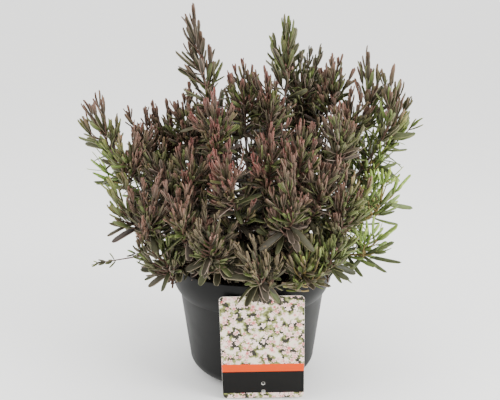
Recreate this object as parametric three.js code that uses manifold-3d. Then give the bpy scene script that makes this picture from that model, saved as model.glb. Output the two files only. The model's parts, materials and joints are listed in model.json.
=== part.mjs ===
// A bog rosemary shrub in a nursery pot: a dark moulded pot full of compost, a rounded mound of
// leafy stems that stand in the compost, and a plastic plant label hooked over the pot's rim.
//
// Millimetres, +Z up, front towards -Y. The origin is the middle of the pot's flat underside.
// Every leafy stem is one body: a stem with its side arms, its young upright leaves and the
// broad old leaves below the fork where the arms start.

import * as THREE from 'three';
import { mergeVertices } from 'three/addons/utils/BufferGeometryUtils.js';
import Module from 'manifold-3d';

const wasm = await Module();
wasm.setup();

const CLEARANCE = 0.3;
// Corners of a shape that lie closer than this are one, and so are the ends of an edge that is
// shorter than this where shapes were joined.
const SHORTEST = { shape: 1e-4, edge: 0.02 };
const UP = new THREE.Vector3(0, 0, 1);
const FULL_TURN = Math.PI * 2;
const GOLDEN_ANGLE = Math.PI * (3 - Math.sqrt(5));

const POT = {
  height: 142,
  rimRadius: 95,
  rimRound: 0.8,
  collarFoot: 130.5,
  ledgeHeight: 103,
  ledgeRadius: 85.3,
  footHeight: 24,
  footRadius: 75.3,
  baseRadius: 40,
  wall: 2,
  floorTop: 4.5,
  sides: 26,
  filletSteps: 3,
  collarSteps: 3,
};

// The channel moulded into the underside, where the water leaves through the drain holes.
const CHANNEL = { inner: 24, outer: 36.5, slope: 1.5, depth: 2.5 };
const DRAIN = { count: 8, radius: 4, ring: 30.2, sides: 5 };

const COMPOST = { top: 128, floor: 5 };
const HOLE = { depth: 12, radius: 2.8, sides: 3 };

const LABEL = {
  width: 91.5,
  height: 131,
  thickness: 0.8,
  corner: 5,
  centreX: 10.4,
  topY: -96.8,
  topZ: 132,
  leanDegrees: 6.5,
  rollDegrees: 1.2,
  holeRadius: 1.75,
  holeHeights: [9, 19.5],
  tongueWidth: 13,
  tongueBehindRim: 3,
  curveSteps: 3,
};

// Each stem stands on the line from the pot's middle to below its fork, at a share of the way,
// and the stems are then pushed apart until they stand the gap apart.
const STEM = {
  sides: 3,
  footRadius: 1.8,
  forkRadius: 1.4,
  seatShare: 0.4,
  seatGap: 13,
  seatReach: 72,
  seatRounds: 80,
  straight: 2,
};

// The two handles of the curve a stem takes from the compost to its fork: the low one as a share
// of the rise and of the way out, the high one as shares back from the fork. `stops` are the
// places on the curve where the stem has a corner.
const STEM_CURVE = {
  low: { rise: 0.4, least: 26, out: 0.12 },
  high: { drop: 0.26, least: 30, back: 0.2 },
  stops: [0.36, 0.7],
};

// A stem or an arm ends in its last leaf, which is as wide as the crown and runs to a point.
const CROWN = { radius: 2, length: 12 };

// An arm leaves the stem at or above the fork, swings out and turns upright. It rises by a
// share of the leading shoot's length, up to a limit. Stems that end higher than the rest are
// slim, and their arms reach out less.
const ARM = {
  count: 3,
  sides: 3,
  rootRadius: 0.4,
  radius: 1.4,
  spacing: 5,
  reach: 21,
  reachRange: [0.75, 1.15],
  tallFrom: 355,
  tallShare: 0.6,
  share: 0.85,
  longest: 46,
  heightRange: [0.8, 1.05],
  bulge: 0.95,
  bendHeight: 0.4,
  elbow: 0.45,
  crownFrom: 0.5,
  turnPerStem: 0.9,
  nudges: [0, 0.4, -0.4, 0.8, -0.8],
};

// Young leaves stand close to the arm; old leaves spread wide below the fork. The spread is the
// angle from the shoot, in radians.
const YOUNG_LEAF = {
  length: 22,
  lengthRange: [0.85, 1.1],
  width: 5,
  thickness: 1.4,
  bend: 5,
  spread: 0.52,
  widening: 0.2,
  firstRoot: 0.25,
  turnPerShoot: 1.3,
};
const OLD_LEAF = {
  length: 33,
  lengthRange: [0.8, 1.1],
  width: 7,
  thickness: 1.5,
  bend: -4,
  spreadRange: [1.15, 1.6],
  firstRoot: 5,
  spacing: 8,
  turnPerStem: 2.1,
};

const LEAVES = { leader: 2, arm: 2, old: 4, oldBehind: 3, leastOld: 2 };
// How far a leaf may turn about its shoot to find a clear place, in radians, nearest first.
const LEAF_NUDGES = [0, 0.5, -0.5, 1, -1, 1.6, -1.6, 2.4, 3.1];

// How far leaves and arms keep from the pot's rim and from the label.
const CLEAR = { besideRim: 1, overRim: 1.5, besideLabel: 1, overLabel: 2, beforeLabel: 6 };

// Each stem, arm and leaf draws with a number of its own, so the numbers step by more than the
// count of what they number.
const DRAWS = { stem: 50, arm: 10, leaf: 9 };

const COLOURS = {
  rose: '#86564c',
  brown: '#67533f',
  olive: '#4c5034',
  bright: '#6f8f42',
  pot: '#3d3d3b',
  compost: '#2b211a',
  label: '#cfc3b0',
};
const ROUGHNESS = { pot: 0.45, compost: 0.95, label: 0.3, leaves: 0.6 };

// The leafy stems that show from the front: colour, the fork where the arms start, and the tip
// of the leading leaf.
const FRONT_STEMS = [
  ['brown', [-52, 10, 342], [-65, 10, 427]],
  ['olive', [41, 25, 350], [36, 25, 413]],
  ['olive', [60, 32, 328], [68, 35, 382]],
  ['brown', [91, 20, 326], [89, 20, 374]],
  ['brown', [132, 12, 312], [130, 10, 381]],
  ['brown', [152, -10, 298], [154, -10, 363]],
  ['olive', [160, 14, 280], [178, 4, 331]],
  ['brown', [-164, 0, 276], [-174, 0, 333]],
  ['bright', [-150, 22, 228], [-172, 18, 268]],
  ['brown', [-134, -32, 254], [-126, -32, 307]],
  ['brown', [-131, -62, 205], [-152, -66, 250]],
  ['brown', [-110, -80, 200], [-98, -82, 258]],
  ['olive', [-44, -102, 184], [-34, -106, 228]],
  ['olive', [9, -112, 157], [0, -112, 204]],
  ['brown', [40, -97, 215], [42, -99, 286]],
  ['brown', [96, -75, 205], [98, -77, 270]],
  ['rose', [-21, -92, 248], [-24, -96, 299]],
  ['rose', [19, -70, 262], [19, -72, 312]],
  ['rose', [-38, -56, 298], [-42, -54, 341]],
  ['rose', [-8, 0, 320], [-10, 0, 372]],
  ['rose', [18, -14, 312], [15, -6, 362]],
  ['rose', [92, -62, 280], [92, -62, 331]],
  ['brown', [111, 4, 288], [111, 2, 341]],
  ['brown', [72, 46, 300], [72, 46, 352]],
  ['rose', [50, -76, 268], [47, -78, 313]],
  ['brown', [-72, 20, 288], [-73, 18, 340]],
  ['brown', [-98, 32, 270], [-99, 32, 323]],
  ['brown', [-121, 24, 262], [-124, 26, 316]],
  ['bright', [143, -22, 206], [157, -24, 256]],
  ['bright', [126, -46, 160], [136, -50, 198]],
  ['bright', [132, 2, 240], [137, 0, 297]],
  ['bright', [56, -100, 156], [47, -104, 196]],
  ['rose', [-66, -62, 244], [-65, -64, 294]],
  ['rose', [-95, -46, 240], [-95, -48, 290]],
  ['brown', [-70, -94, 204], [-66, -98, 256]],
  ['olive', [-90, -86, 158], [-98, -90, 202]],
  ['olive', [84, -84, 164], [88, -86, 208]],
  ['brown', [70, -76, 234], [70, -80, 280]],
  ['olive', [-112, -56, 164], [-166, -66, 158]],
];

// Broad leaves that stand out plainly: over the rim, in front of the pot and at the sides. Each
// has the number of the stem that bears it, and its tip.
const MARKED_LEAVES = [
  [1, [-79, 8, 366]],
  [6, [177, -20, 297]],
  [7, [172, 0, 236]],
  [8, [-189, 0, 284]],
  [9, [-186, 10, 228]],
  [11, [-153, -70, 190]],
  [13, [-56, -112, 151]],
  [13, [-39, -114, 156]],
  [13, [-68, -108, 166]],
  [14, [-6, -126, 137]],
  [14, [33, -125, 138]],
  [14, [-26, -118, 166]],
  [15, [8, -118, 197]],
  [15, [64, -116, 192]],
  [30, [104, -60, 140]],
  [30, [121, -62, 136]],
  [30, [150, -55, 142]],
  [30, [160, -45, 172]],
  [30, [166, -52, 153]],
  [32, [66, -114, 143]],
  [32, [84, -102, 158]],
  [36, [-108, -97, 145]],
  [36, [-78, -106, 157]],
  [36, [-120, -85, 158]],
  [37, [114, -84, 158]],
  [37, [100, -100, 155]],
];

// The back of the mound, which can't be seen from the front, as rings of forks: colour, how
// many, fork radius and height, the turn of the first and of the last, and the leader's length.
const BACK_WOBBLE = 6;
const BACK_RINGS = [
  { colour: 'olive', count: 5, radius: 122, height: 178, from: 15, to: 165, leader: 44 },
  { colour: 'brown', count: 5, radius: 114, height: 228, from: 27, to: 153, leader: 50 },
  { colour: 'rose', count: 4, radius: 78, height: 272, from: 42, to: 138, leader: 52 },
];
const LEADER_LEAN = 0.12;

// A number from 0 to 1 that looks random and is always the same for the same pair.
function draw(item, use) {
  const wave = Math.sin(item * 127.1 + use * 311.7) * 43758.5453;
  return wave - Math.floor(wave);
}

// Draws a number between two limits.
function between(low, high, item, use) {
  return low + (high - low) * draw(item, use);
}

// A point at a compass turn from an axis, at a distance and height.
function polar(radius, angle, height = 0) {
  return new THREE.Vector3(radius * Math.cos(angle), radius * Math.sin(angle), height);
}

// Corners in groups: `join` puts two groups together, and `find` gives a corner's group.
function grouping(count) {
  const parent = Array.from({ length: count }, (_, i) => i);
  const find = (i) => {
    let at = i;
    while (parent[at] !== at) {
      parent[at] = parent[parent[at]];
      at = parent[at];
    }
    return at;
  };
  const join = (a, b) => {
    parent[find(a)] = find(b);
  };
  return { find, join };
}

// The triangles of a list of corners that keep three different corners.
function unflattened(corners) {
  const kept = [];
  for (let i = 0; i < corners.length; i += 3) {
    const [a, b, c] = [corners[i], corners[i + 1], corners[i + 2]];
    if (a !== b && b !== c && c !== a) {
      kept.push(a, b, c);
    }
  }
  return kept;
}

// A closed geometry as a solid that can be joined and cut.
function solid(geometry) {
  const bare = geometry.index ? geometry.toNonIndexed() : geometry.clone();
  bare.deleteAttribute('normal');
  bare.deleteAttribute('uv');
  const merged = mergeVertices(bare, SHORTEST.shape);
  return new wasm.Manifold(new wasm.Mesh({
    numProp: 3,
    vertProperties: new Float32Array(merged.attributes.position.array),
    triVerts: new Uint32Array(unflattened(merged.index.array)),
  }));
}

// Joins the two ends of each edge that is too short to matter, and drops what that flattens.
function withoutShortEdges(places, corners) {
  const { find, join } = grouping(places.length / 3);
  const start = new THREE.Vector3();
  const end = new THREE.Vector3();
  for (let i = 0; i < corners.length; i += 1) {
    const next = i % 3 === 2 ? i - 2 : i + 1;
    start.fromArray(places, corners[i] * 3);
    end.fromArray(places, corners[next] * 3);
    if (start.distanceTo(end) < SHORTEST.edge) {
      join(corners[i], corners[next]);
    }
  }
  return unflattened(Array.from(corners, find));
}

// The corners of a body's largest connected skin. Leaves that cross can close off a small
// hollow between them, and its inner skin is left out, which fills it.
function outerSkin(places, corners) {
  const { find, join } = grouping(places.length / 3);
  for (let i = 0; i < corners.length; i += 3) {
    join(corners[i], corners[i + 1]);
    join(corners[i + 1], corners[i + 2]);
  }
  const sizes = new Map();
  for (const corner of corners) {
    sizes.set(find(corner), (sizes.get(find(corner)) ?? 0) + 1);
  }
  const largest = [...sizes].reduce((a, b) => (b[1] > a[1] ? b : a))[0];
  return corners.filter((corner) => find(corner) === largest);
}

// A solid as a named mesh with a material of its own.
function mesh(name, body, colour, roughness) {
  const { vertProperties: places, triVerts } = body.getMesh();
  const geometry = new THREE.BufferGeometry();
  geometry.setAttribute('position', new THREE.BufferAttribute(places, 3));
  geometry.setIndex(outerSkin(places, withoutShortEdges(places, triVerts)));
  geometry.computeVertexNormals();
  const material = new THREE.MeshStandardMaterial({ color: colour, roughness, metalness: 0 });
  const made = new THREE.Mesh(geometry, material);
  made.name = name;
  return made;
}

// A solid turned from a profile of [radius, height] points, with its axis along Z.
function turned(profile, sides) {
  const points = profile.map(([radius, height]) => new THREE.Vector2(radius, height));
  const geometry = new THREE.LatheGeometry(points, sides);
  geometry.rotateX(Math.PI / 2);
  return solid(geometry);
}

// The pot's outer line from the edge of its flat underside up to the collar's foot: a rounded
// corner, a tapered side and a collar that swells out to the rim.
function outerLine() {
  const line = [];
  for (let i = 0; i <= POT.filletSteps; i += 1) {
    const angle = (i / POT.filletSteps) * (Math.PI / 2);
    const across = (POT.footRadius - POT.baseRadius) * Math.sin(angle);
    line.push([POT.baseRadius + across, POT.footHeight * (1 - Math.cos(angle))]);
  }
  const step = POT.rimRadius - POT.ledgeRadius;
  const drop = POT.collarFoot - POT.ledgeHeight;
  const bend = (step * step + drop * drop) / (2 * step);
  const sweep = Math.asin(drop / bend);
  for (let i = 0; i <= POT.collarSteps; i += 1) {
    const angle = sweep * (1 - i / POT.collarSteps);
    const radius = POT.rimRadius - bend * (1 - Math.cos(angle));
    line.push([radius, POT.collarFoot - bend * Math.sin(angle)]);
  }
  return line;
}

// A line moved towards the pot's axis by a distance, square to itself.
function inset(line, distance) {
  return line.map(([radius, height], i) => {
    const before = line[Math.max(i - 1, 0)];
    const after = line[Math.min(i + 1, line.length - 1)];
    const along = new THREE.Vector2(after[0] - before[0], after[1] - before[1]).normalize();
    return [radius - along.y * distance, height + along.x * distance];
  });
}

// The part of a rising line between two heights, cut exactly at both.
function cropped(line, low, high) {
  const crossing = (height) => {
    const i = line.findIndex((point) => point[1] > height);
    const [start, end] = [line[i - 1], line[i]];
    const share = (height - start[1]) / (end[1] - start[1]);
    return [start[0] + (end[0] - start[0]) * share, height];
  };
  const inside = line.filter((point) => point[1] > low && point[1] < high);
  return [crossing(low), ...inside, crossing(high)];
}

function makePot() {
  const outer = outerLine();
  const inner = inset(outer, POT.wall);
  const innerRim = POT.rimRadius - POT.wall;
  inner.push([innerRim, POT.height]);
  const innerLine = cropped(inner, POT.floorTop, POT.height - POT.rimRound);
  const shell = turned([
    [0, 0],
    [CHANNEL.inner, 0],
    [CHANNEL.inner + CHANNEL.slope, CHANNEL.depth],
    [CHANNEL.outer - CHANNEL.slope, CHANNEL.depth],
    [CHANNEL.outer, 0],
    ...outer,
    [POT.rimRadius, POT.height - POT.rimRound],
    [POT.rimRadius - POT.rimRound / 2, POT.height],
    [innerRim + POT.rimRound / 2, POT.height],
    ...innerLine.reverse(),
    [0, POT.floorTop],
  ], POT.sides);
  const drains = [];
  for (let i = 0; i < DRAIN.count; i += 1) {
    const length = POT.floorTop * 4;
    const drill = new THREE.CylinderGeometry(DRAIN.radius, DRAIN.radius, length, DRAIN.sides);
    const at = polar(DRAIN.ring, (i + 0.5) * (FULL_TURN / DRAIN.count));
    drill.rotateX(Math.PI / 2).translate(at.x, at.y, 0);
    drains.push(solid(drill));
  }
  const drained = shell.subtract(wasm.Manifold.union(drains));
  return mesh('pot', drained, COLOURS.pot, ROUGHNESS.pot);
}

// The compost fills the pot to a little below the rim, with a plain hole for each stem.
function makeCompost(seats) {
  const side = inset(outerLine(), POT.wall + CLEARANCE * 1.5);
  const body = turned([
    [0, COMPOST.floor],
    ...cropped(side, COMPOST.floor, COMPOST.top),
    [0, COMPOST.top],
  ], POT.sides);
  const holes = seats.map((seat) => {
    const drill = new THREE.CylinderGeometry(HOLE.radius, HOLE.radius, HOLE.depth * 2, HOLE.sides);
    return solid(drill.rotateX(Math.PI / 2).translate(seat.x, seat.y, COMPOST.top));
  });
  const drilled = body.subtract(wasm.Manifold.union(holes));
  return mesh('compost', drilled, COLOURS.compost, ROUGHNESS.compost);
}

// A flat card that leans away from the pot at its top, with a tongue bent over the rim.
function makeLabel() {
  const [half, corner] = [LABEL.width / 2, LABEL.corner];
  const outline = new THREE.Shape();
  outline.moveTo(-half + corner, -LABEL.height);
  outline.lineTo(half - corner, -LABEL.height);
  outline.absarc(half - corner, corner - LABEL.height, corner, -Math.PI / 2, 0);
  outline.absarc(half - corner, -corner, corner, 0, Math.PI / 2);
  outline.absarc(-half + corner, -corner, corner, Math.PI / 2, Math.PI);
  outline.absarc(-half + corner, corner - LABEL.height, corner, Math.PI, Math.PI * 1.5);
  for (const height of LABEL.holeHeights) {
    const hole = new THREE.Path();
    hole.absarc(0, height - LABEL.height, LABEL.holeRadius, 0, FULL_TURN);
    outline.holes.push(hole);
  }
  const card = new THREE.ExtrudeGeometry(outline, {
    depth: LABEL.thickness, bevelEnabled: false, curveSegments: LABEL.curveSteps,
  });
  card.rotateZ(THREE.MathUtils.degToRad(LABEL.rollDegrees));
  card.rotateX(THREE.MathUtils.degToRad(90 + LABEL.leanDegrees));
  card.translate(LABEL.centreX, LABEL.topY, LABEL.topZ);

  // The tongue's side view, in Y and Z: up from behind the card's top edge, over the rim and
  // down inside it.
  const front = -(POT.rimRadius + CLEARANCE + LABEL.thickness);
  const inside = -(POT.rimRadius - POT.wall - LABEL.tongueBehindRim);
  const roof = POT.height + CLEARANCE + LABEL.thickness;
  const root = LABEL.topZ - LABEL.corner;
  const end = COMPOST.top + CLEARANCE * 4;
  const sunk = LABEL.topY + LABEL.thickness * 0.4;
  const tongue = new THREE.Shape([
    new THREE.Vector2(sunk - LABEL.thickness, root),
    new THREE.Vector2(sunk, root),
    new THREE.Vector2(front + LABEL.thickness, roof - LABEL.thickness),
    new THREE.Vector2(inside - LABEL.thickness, roof - LABEL.thickness),
    new THREE.Vector2(inside - LABEL.thickness, end),
    new THREE.Vector2(inside, end),
    new THREE.Vector2(inside, roof),
    new THREE.Vector2(front, roof),
  ]);
  const strip = new THREE.ExtrudeGeometry(tongue, { depth: LABEL.tongueWidth, bevelEnabled: false });
  const sideView = new THREE.Matrix4().makeBasis(
    new THREE.Vector3(0, 1, 0),
    UP,
    new THREE.Vector3(1, 0, 0),
  );
  strip.applyMatrix4(sideView);
  strip.translate(LABEL.centreX - LABEL.tongueWidth / 2, 0, 0);
  return mesh('label', solid(card).add(solid(strip)), COLOURS.label, ROUGHNESS.label);
}

// Every leafy stem of the mound, front and back, in one list.
function listStems() {
  const stems = FRONT_STEMS.map(([colour, fork, tip]) => ({
    colour,
    fork: new THREE.Vector3(...fork),
    tip: new THREE.Vector3(...tip),
  }));
  for (const ring of BACK_RINGS) {
    for (let i = 0; i < ring.count; i += 1) {
      const turn = THREE.MathUtils.lerp(ring.from, ring.to, i / (ring.count - 1));
      const wobble = between(-BACK_WOBBLE, BACK_WOBBLE, stems.length, 1);
      const angle = THREE.MathUtils.degToRad(turn);
      const fork = polar(ring.radius + wobble, angle, ring.height + wobble);
      const tip = fork.clone().multiplyScalar(1 + LEADER_LEAN);
      tip.z = fork.z + ring.leader;
      stems.push({ colour: ring.colour, fork, tip });
    }
  }
  return stems;
}

// Where each stem leaves the compost: towards its fork, but pushed clear of the other stems.
function seatStems(stems) {
  const seats = stems.map(({ fork }) => {
    const below = new THREE.Vector2(fork.x, fork.y);
    return below.multiplyScalar(STEM.seatShare);
  });
  for (let round = 0; round < STEM.seatRounds; round += 1) {
    for (let i = 0; i < seats.length; i += 1) {
      for (let j = 0; j < i; j += 1) {
        const apart = seats[i].clone().sub(seats[j]);
        const short = STEM.seatGap - apart.length();
        if (short > 0) {
          apart.setLength(short / 2);
          seats[i].add(apart);
          seats[j].sub(apart);
        }
      }
      seats[i].clampLength(0, STEM.seatReach);
    }
  }
  return seats;
}

// The stem's centre line: upright in its hole, out under the mound, up to the fork and on
// towards the tip.
function stemLine(stem, seat) {
  const { low, high, stops } = STEM_CURVE;
  const { fork } = stem;
  const soil = COMPOST.top;
  const rise = fork.z - soil;
  const above = (height) => new THREE.Vector3(seat.x, seat.y, height);
  const exit = above(soil + STEM.straight);
  const lower = above(soil + Math.max(rise * low.rise, low.least));
  lower.lerp(new THREE.Vector3(fork.x, fork.y, lower.z), low.out);
  const upper = fork.clone().lerp(above(fork.z), high.back);
  upper.z = Math.max(fork.z - rise * high.drop, soil + high.least);
  const curve = new THREE.CubicBezierCurve3(exit, lower, upper, fork);
  const foot = above(soil - HOLE.depth + CLEARANCE);
  return [foot, exit, ...stops.map((stop) => curve.getPoint(stop)), fork];
}

// An arm's centre line: out from the leading shoot, then upright. Each arm starts a little
// higher than the one before.
function armLine(stem, order, number, turn) {
  const leader = stem.tip.clone().sub(stem.fork);
  const full = Math.min(leader.length() * ARM.share, ARM.longest);
  const slack = (leader.length() - full) * (order / ARM.count);
  const slim = stem.tip.z > ARM.tallFrom ? ARM.tallShare : 1;
  const reach = ARM.reach * slim * between(...ARM.reachRange, number, 2);
  const height = full * between(...ARM.heightRange, number, 3);
  const out = polar(reach, turn);
  const along = leader.clone().normalize();
  out.addScaledVector(along, -out.dot(along));
  const start = stem.fork.clone().addScaledVector(along, slack + (order - 1) * ARM.spacing);
  const bend = start.clone().addScaledVector(out, ARM.bulge);
  bend.addScaledVector(along, height * ARM.bendHeight);
  const end = start.clone().add(out).addScaledVector(along, height);
  const curve = new THREE.QuadraticBezierCurve3(start, bend, end);
  return [start, curve.getPoint(ARM.elbow), ...crowned(curve.getPoint(ARM.crownFrom), end)];
}

// The last stretch of a line: the widest place of its last leaf, and the leaf's point.
function crowned(from, tip) {
  const back = from.clone().sub(tip).setLength(CROWN.length);
  return [tip.clone().add(back), tip];
}

// A blade's centre line: from its root, at an angle to the shoot that bears it, with a bend.
function bladeLine({ root, along, spread, length, size }, turn) {
  const side = new THREE.Vector3(Math.cos(turn), Math.sin(turn), 0);
  const out = side.addScaledVector(along, -side.dot(along)).normalize();
  const heading = along.clone().multiplyScalar(Math.cos(spread));
  heading.addScaledVector(out, Math.sin(spread));
  const lift = along.clone().multiplyScalar(Math.sin(spread));
  lift.addScaledVector(out, -Math.cos(spread));
  const middle = root.clone().addScaledVector(heading, length / 2);
  middle.addScaledVector(lift, size.bend / 4);
  const end = root.clone().addScaledVector(heading, length).addScaledVector(lift, size.bend);
  return { root, middle, end, across: new THREE.Vector3().crossVectors(lift, heading), lift };
}

// A rod with flat sides whose rings stand at the points of a line, each with its own radius. A
// last radius of 0 gives it a point.
function rod(line, radii, sides) {
  const rings = line.length - 1;
  const geometry = new THREE.CylinderGeometry(1, 1, rings, sides, rings);
  geometry.rotateX(Math.PI / 2).translate(0, 0, rings / 2);
  const place = geometry.attributes.position;
  for (let i = 0; i < place.count; i += 1) {
    const ring = Math.round(place.getZ(i));
    const before = line[Math.max(ring - 1, 0)];
    const after = line[Math.min(ring + 1, rings)];
    const heading = after.clone().sub(before).normalize();
    const turn = new THREE.Quaternion().setFromUnitVectors(UP, heading);
    const point = new THREE.Vector3(place.getX(i), place.getY(i), 0).multiplyScalar(radii[ring]);
    point.applyQuaternion(turn).add(line[ring]);
    place.setXYZ(i, point.x, point.y, point.z);
  }
  return solid(geometry);
}

// A narrow leaf blade: a stretched tetrahedron with one edge from its root to its point, and the
// other across the widest place, raised or sunk by the blade's thickness.
function blade(line, size) {
  const geometry = new THREE.TetrahedronGeometry(1);
  const place = geometry.attributes.position;
  const waist = line.root.clone().lerp(line.end, 0.5);
  waist.addScaledVector(line.lift, size.bend > 0 ? -size.thickness : size.thickness);
  const left = waist.clone().addScaledVector(line.across, -size.width / 2);
  const right = waist.clone().addScaledVector(line.across, size.width / 2);
  const along = size.bend > 0 ? [line.end, line.root] : [line.root, line.end];
  for (let i = 0; i < place.count; i += 1) {
    const pair = place.getZ(i) > 0 ? along : [left, right];
    const point = pair[place.getX(i) > 0 ? 0 : 1];
    place.setXYZ(i, point.x, point.y, point.z);
  }
  return solid(geometry);
}

// The space that pieces have taken, as rounded bars: each has two ends, a radius and an owner.
const taken = [];

function bars(line, radius, owner) {
  return line.slice(1).map((end, i) => ({ line: new THREE.Line3(line[i], end), radius, owner }));
}

// True where a bar comes too near to one that another stem owns.
function blocked(bar) {
  return taken.some((other) => {
    if (other.owner === bar.owner) {
      return false;
    }
    const reach = bar.radius + other.radius + CLEARANCE;
    return bar.line.distanceSqToLine3(other.line) < reach * reach;
  });
}

// True where a point is in or too near to the pot's rim, the compost or the label.
function inPot(point, radius) {
  const flat = Math.hypot(point.x, point.y);
  const offSide = Math.abs(point.x - LABEL.centreX);
  const inRim = flat < POT.rimRadius + radius + CLEAR.besideRim;
  const underRim = point.z < POT.height + radius + CLEAR.overRim;
  const behind = point.y < 0 && flat < POT.rimRadius + radius + CLEAR.beforeLabel;
  const beside = offSide < LABEL.width / 2 + radius + CLEAR.besideLabel;
  const underLabel = point.z < LABEL.topZ + radius + CLEAR.overLabel;
  return (inRim && underRim) || (behind && beside && underLabel);
}

// The side leaves of a stem's or an arm's end, youngest first.
function youngLeaves(line, number, count) {
  const [below, waist, tip] = line.slice(-3);
  const along = tip.clone().sub(waist).normalize();
  const leaves = [];
  for (let i = 0; i < count; i += 1) {
    leaves.push({
      root: waist.clone().lerp(below, (i + YOUNG_LEAF.firstRoot) / count),
      along,
      turn: number * YOUNG_LEAF.turnPerShoot + i * GOLDEN_ANGLE,
      spread: YOUNG_LEAF.spread + YOUNG_LEAF.widening * (i / count),
      length: YOUNG_LEAF.length * between(...YOUNG_LEAF.lengthRange, number * DRAWS.leaf + i, 5),
      size: YOUNG_LEAF,
    });
  }
  return leaves;
}

// The broad leaves that spread below a fork.
function oldLeaves(stemPoints, number, count) {
  const [below, fork] = stemPoints.slice(-2);
  const along = fork.clone().sub(below).normalize();
  const leaves = [];
  for (let i = 0; i < count; i += 1) {
    leaves.push({
      root: fork.clone().addScaledVector(along, -OLD_LEAF.firstRoot - OLD_LEAF.spacing * i),
      along,
      turn: number * OLD_LEAF.turnPerStem + i * GOLDEN_ANGLE,
      spread: between(...OLD_LEAF.spreadRange, number * DRAWS.leaf + i, 6),
      length: OLD_LEAF.length * between(...OLD_LEAF.lengthRange, number * DRAWS.leaf + i, 7),
      size: OLD_LEAF,
    });
  }
  return leaves;
}

// The blade along a centre line, or nothing where its place isn't free.
function placeBlade(line, size, owner) {
  const radius = size.width / 2;
  const own = bars([line.root, line.middle, line.end], radius, owner);
  if (own.some(blocked) || inPot(line.middle, radius) || inPot(line.end, radius)) {
    return null;
  }
  taken.push(...own);
  return blade(line, size);
}

// Tries a leaf at a few turns and keeps the first that is clear of everything else.
function placeLeaf(leaf, owner) {
  for (const nudge of LEAF_NUDGES) {
    const placed = placeBlade(bladeLine(leaf, leaf.turn + nudge), leaf.size, owner);
    if (placed) {
      return placed;
    }
  }
  return null;
}

// A leaf with a given tip, from the place on its stem that is one leaf's length away.
function placeMarkedLeaf(stem, tip, owner) {
  let root = stem.fork;
  const miss = (point) => Math.abs(point.distanceTo(tip) - OLD_LEAF.length);
  stem.line.slice(2, -1).forEach((start, i, points) => {
    for (let share = 0; i + 1 < points.length && share < 1; share += 0.1) {
      const point = start.clone().lerp(points[i + 1], share);
      root = miss(point) < miss(root) ? point : root;
    }
  });
  const heading = tip.clone().sub(root).normalize();
  const lift = UP.clone().addScaledVector(heading, -heading.z).normalize();
  const across = new THREE.Vector3().crossVectors(lift, heading);
  const middle = root.clone().lerp(tip, 0.5).addScaledVector(lift, OLD_LEAF.thickness);
  return placeBlade({ root, middle, end: tip, across, lift }, OLD_LEAF, owner);
}

const stems = listStems();
const seats = seatStems(stems);
stems.forEach((stem, owner) => {
  stem.foot = stemLine(stem, seats[owner]);
  stem.line = [...stem.foot, ...crowned(stem.fork, stem.tip)];
  taken.push(...bars(stem.line, CROWN.radius, owner));
});

// Arms come after every stem has its place, so that none crosses a neighbour.
stems.forEach((stem, owner) => {
  stem.arms = [];
  for (let i = 0; i < ARM.count; i += 1) {
    const number = owner * DRAWS.arm + i;
    const turn = owner * ARM.turnPerStem + (i * FULL_TURN) / ARM.count;
    for (const nudge of ARM.nudges) {
      const line = armLine(stem, i, number, turn + nudge);
      const own = bars(line, CROWN.radius, owner);
      if (!own.some(blocked) && !line.some((point) => inPot(point, CROWN.radius))) {
        taken.push(...own);
        stem.arms.push(line);
        break;
      }
    }
  }
});

for (const [number, tip] of MARKED_LEAVES) {
  const stem = stems[number - 1];
  stem.marked = stem.marked ?? [];
  stem.marked.push(placeMarkedLeaf(stem, new THREE.Vector3(...tip), number - 1));
}

// One leafy stem: its stem, its arms and as many of its leaves as find a clear place.
function makeShoot(stem, owner) {
  const { footRadius, forkRadius } = STEM;
  const stemRadii = [footRadius, footRadius, footRadius, forkRadius, forkRadius, CROWN.radius, 0];
  const armRadii = [ARM.rootRadius, ARM.radius, CROWN.radius, 0];
  const pieces = [rod(stem.line, stemRadii, STEM.sides)];
  const leaves = youngLeaves(stem.line, owner * DRAWS.stem, LEAVES.leader);
  stem.arms.forEach((arm, i) => {
    pieces.push(rod(arm, armRadii, ARM.sides));
    leaves.push(...youngLeaves(arm, owner * DRAWS.stem + DRAWS.arm * (i + 1), LEAVES.arm));
  });
  const marked = stem.marked ?? [];
  const old = owner < FRONT_STEMS.length ? LEAVES.old : LEAVES.oldBehind;
  const rest = Math.max(old - marked.length, LEAVES.leastOld);
  leaves.push(...oldLeaves(stem.foot, owner, rest));
  pieces.push(...marked.filter(Boolean));
  pieces.push(...leaves.map((leaf) => placeLeaf(leaf, owner)).filter(Boolean));
  const name = `shoot_${String(owner + 1).padStart(2, '0')}`;
  return mesh(name, wasm.Manifold.union(pieces), COLOURS[stem.colour], ROUGHNESS.leaves);
}

const group = new THREE.Group();
group.add(makePot(), makeCompost(seats), makeLabel(), ...stems.map(makeShoot));

export default group;
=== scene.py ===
"""A bog rosemary shrub in a dark nursery pot, dressed for rendering round its CAD frame.

Lengths in the tables are millimetres, and everything that Blender gets is metres. The plant
stands on its pot's underside at the origin, with +Z up and its label towards -Y.
"""

import json
import math
from typing import NamedTuple

import bmesh
import bpy
from mathutils import Matrix, Vector, kdtree, noise
from mathutils.geometry import interpolate_bezier

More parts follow.
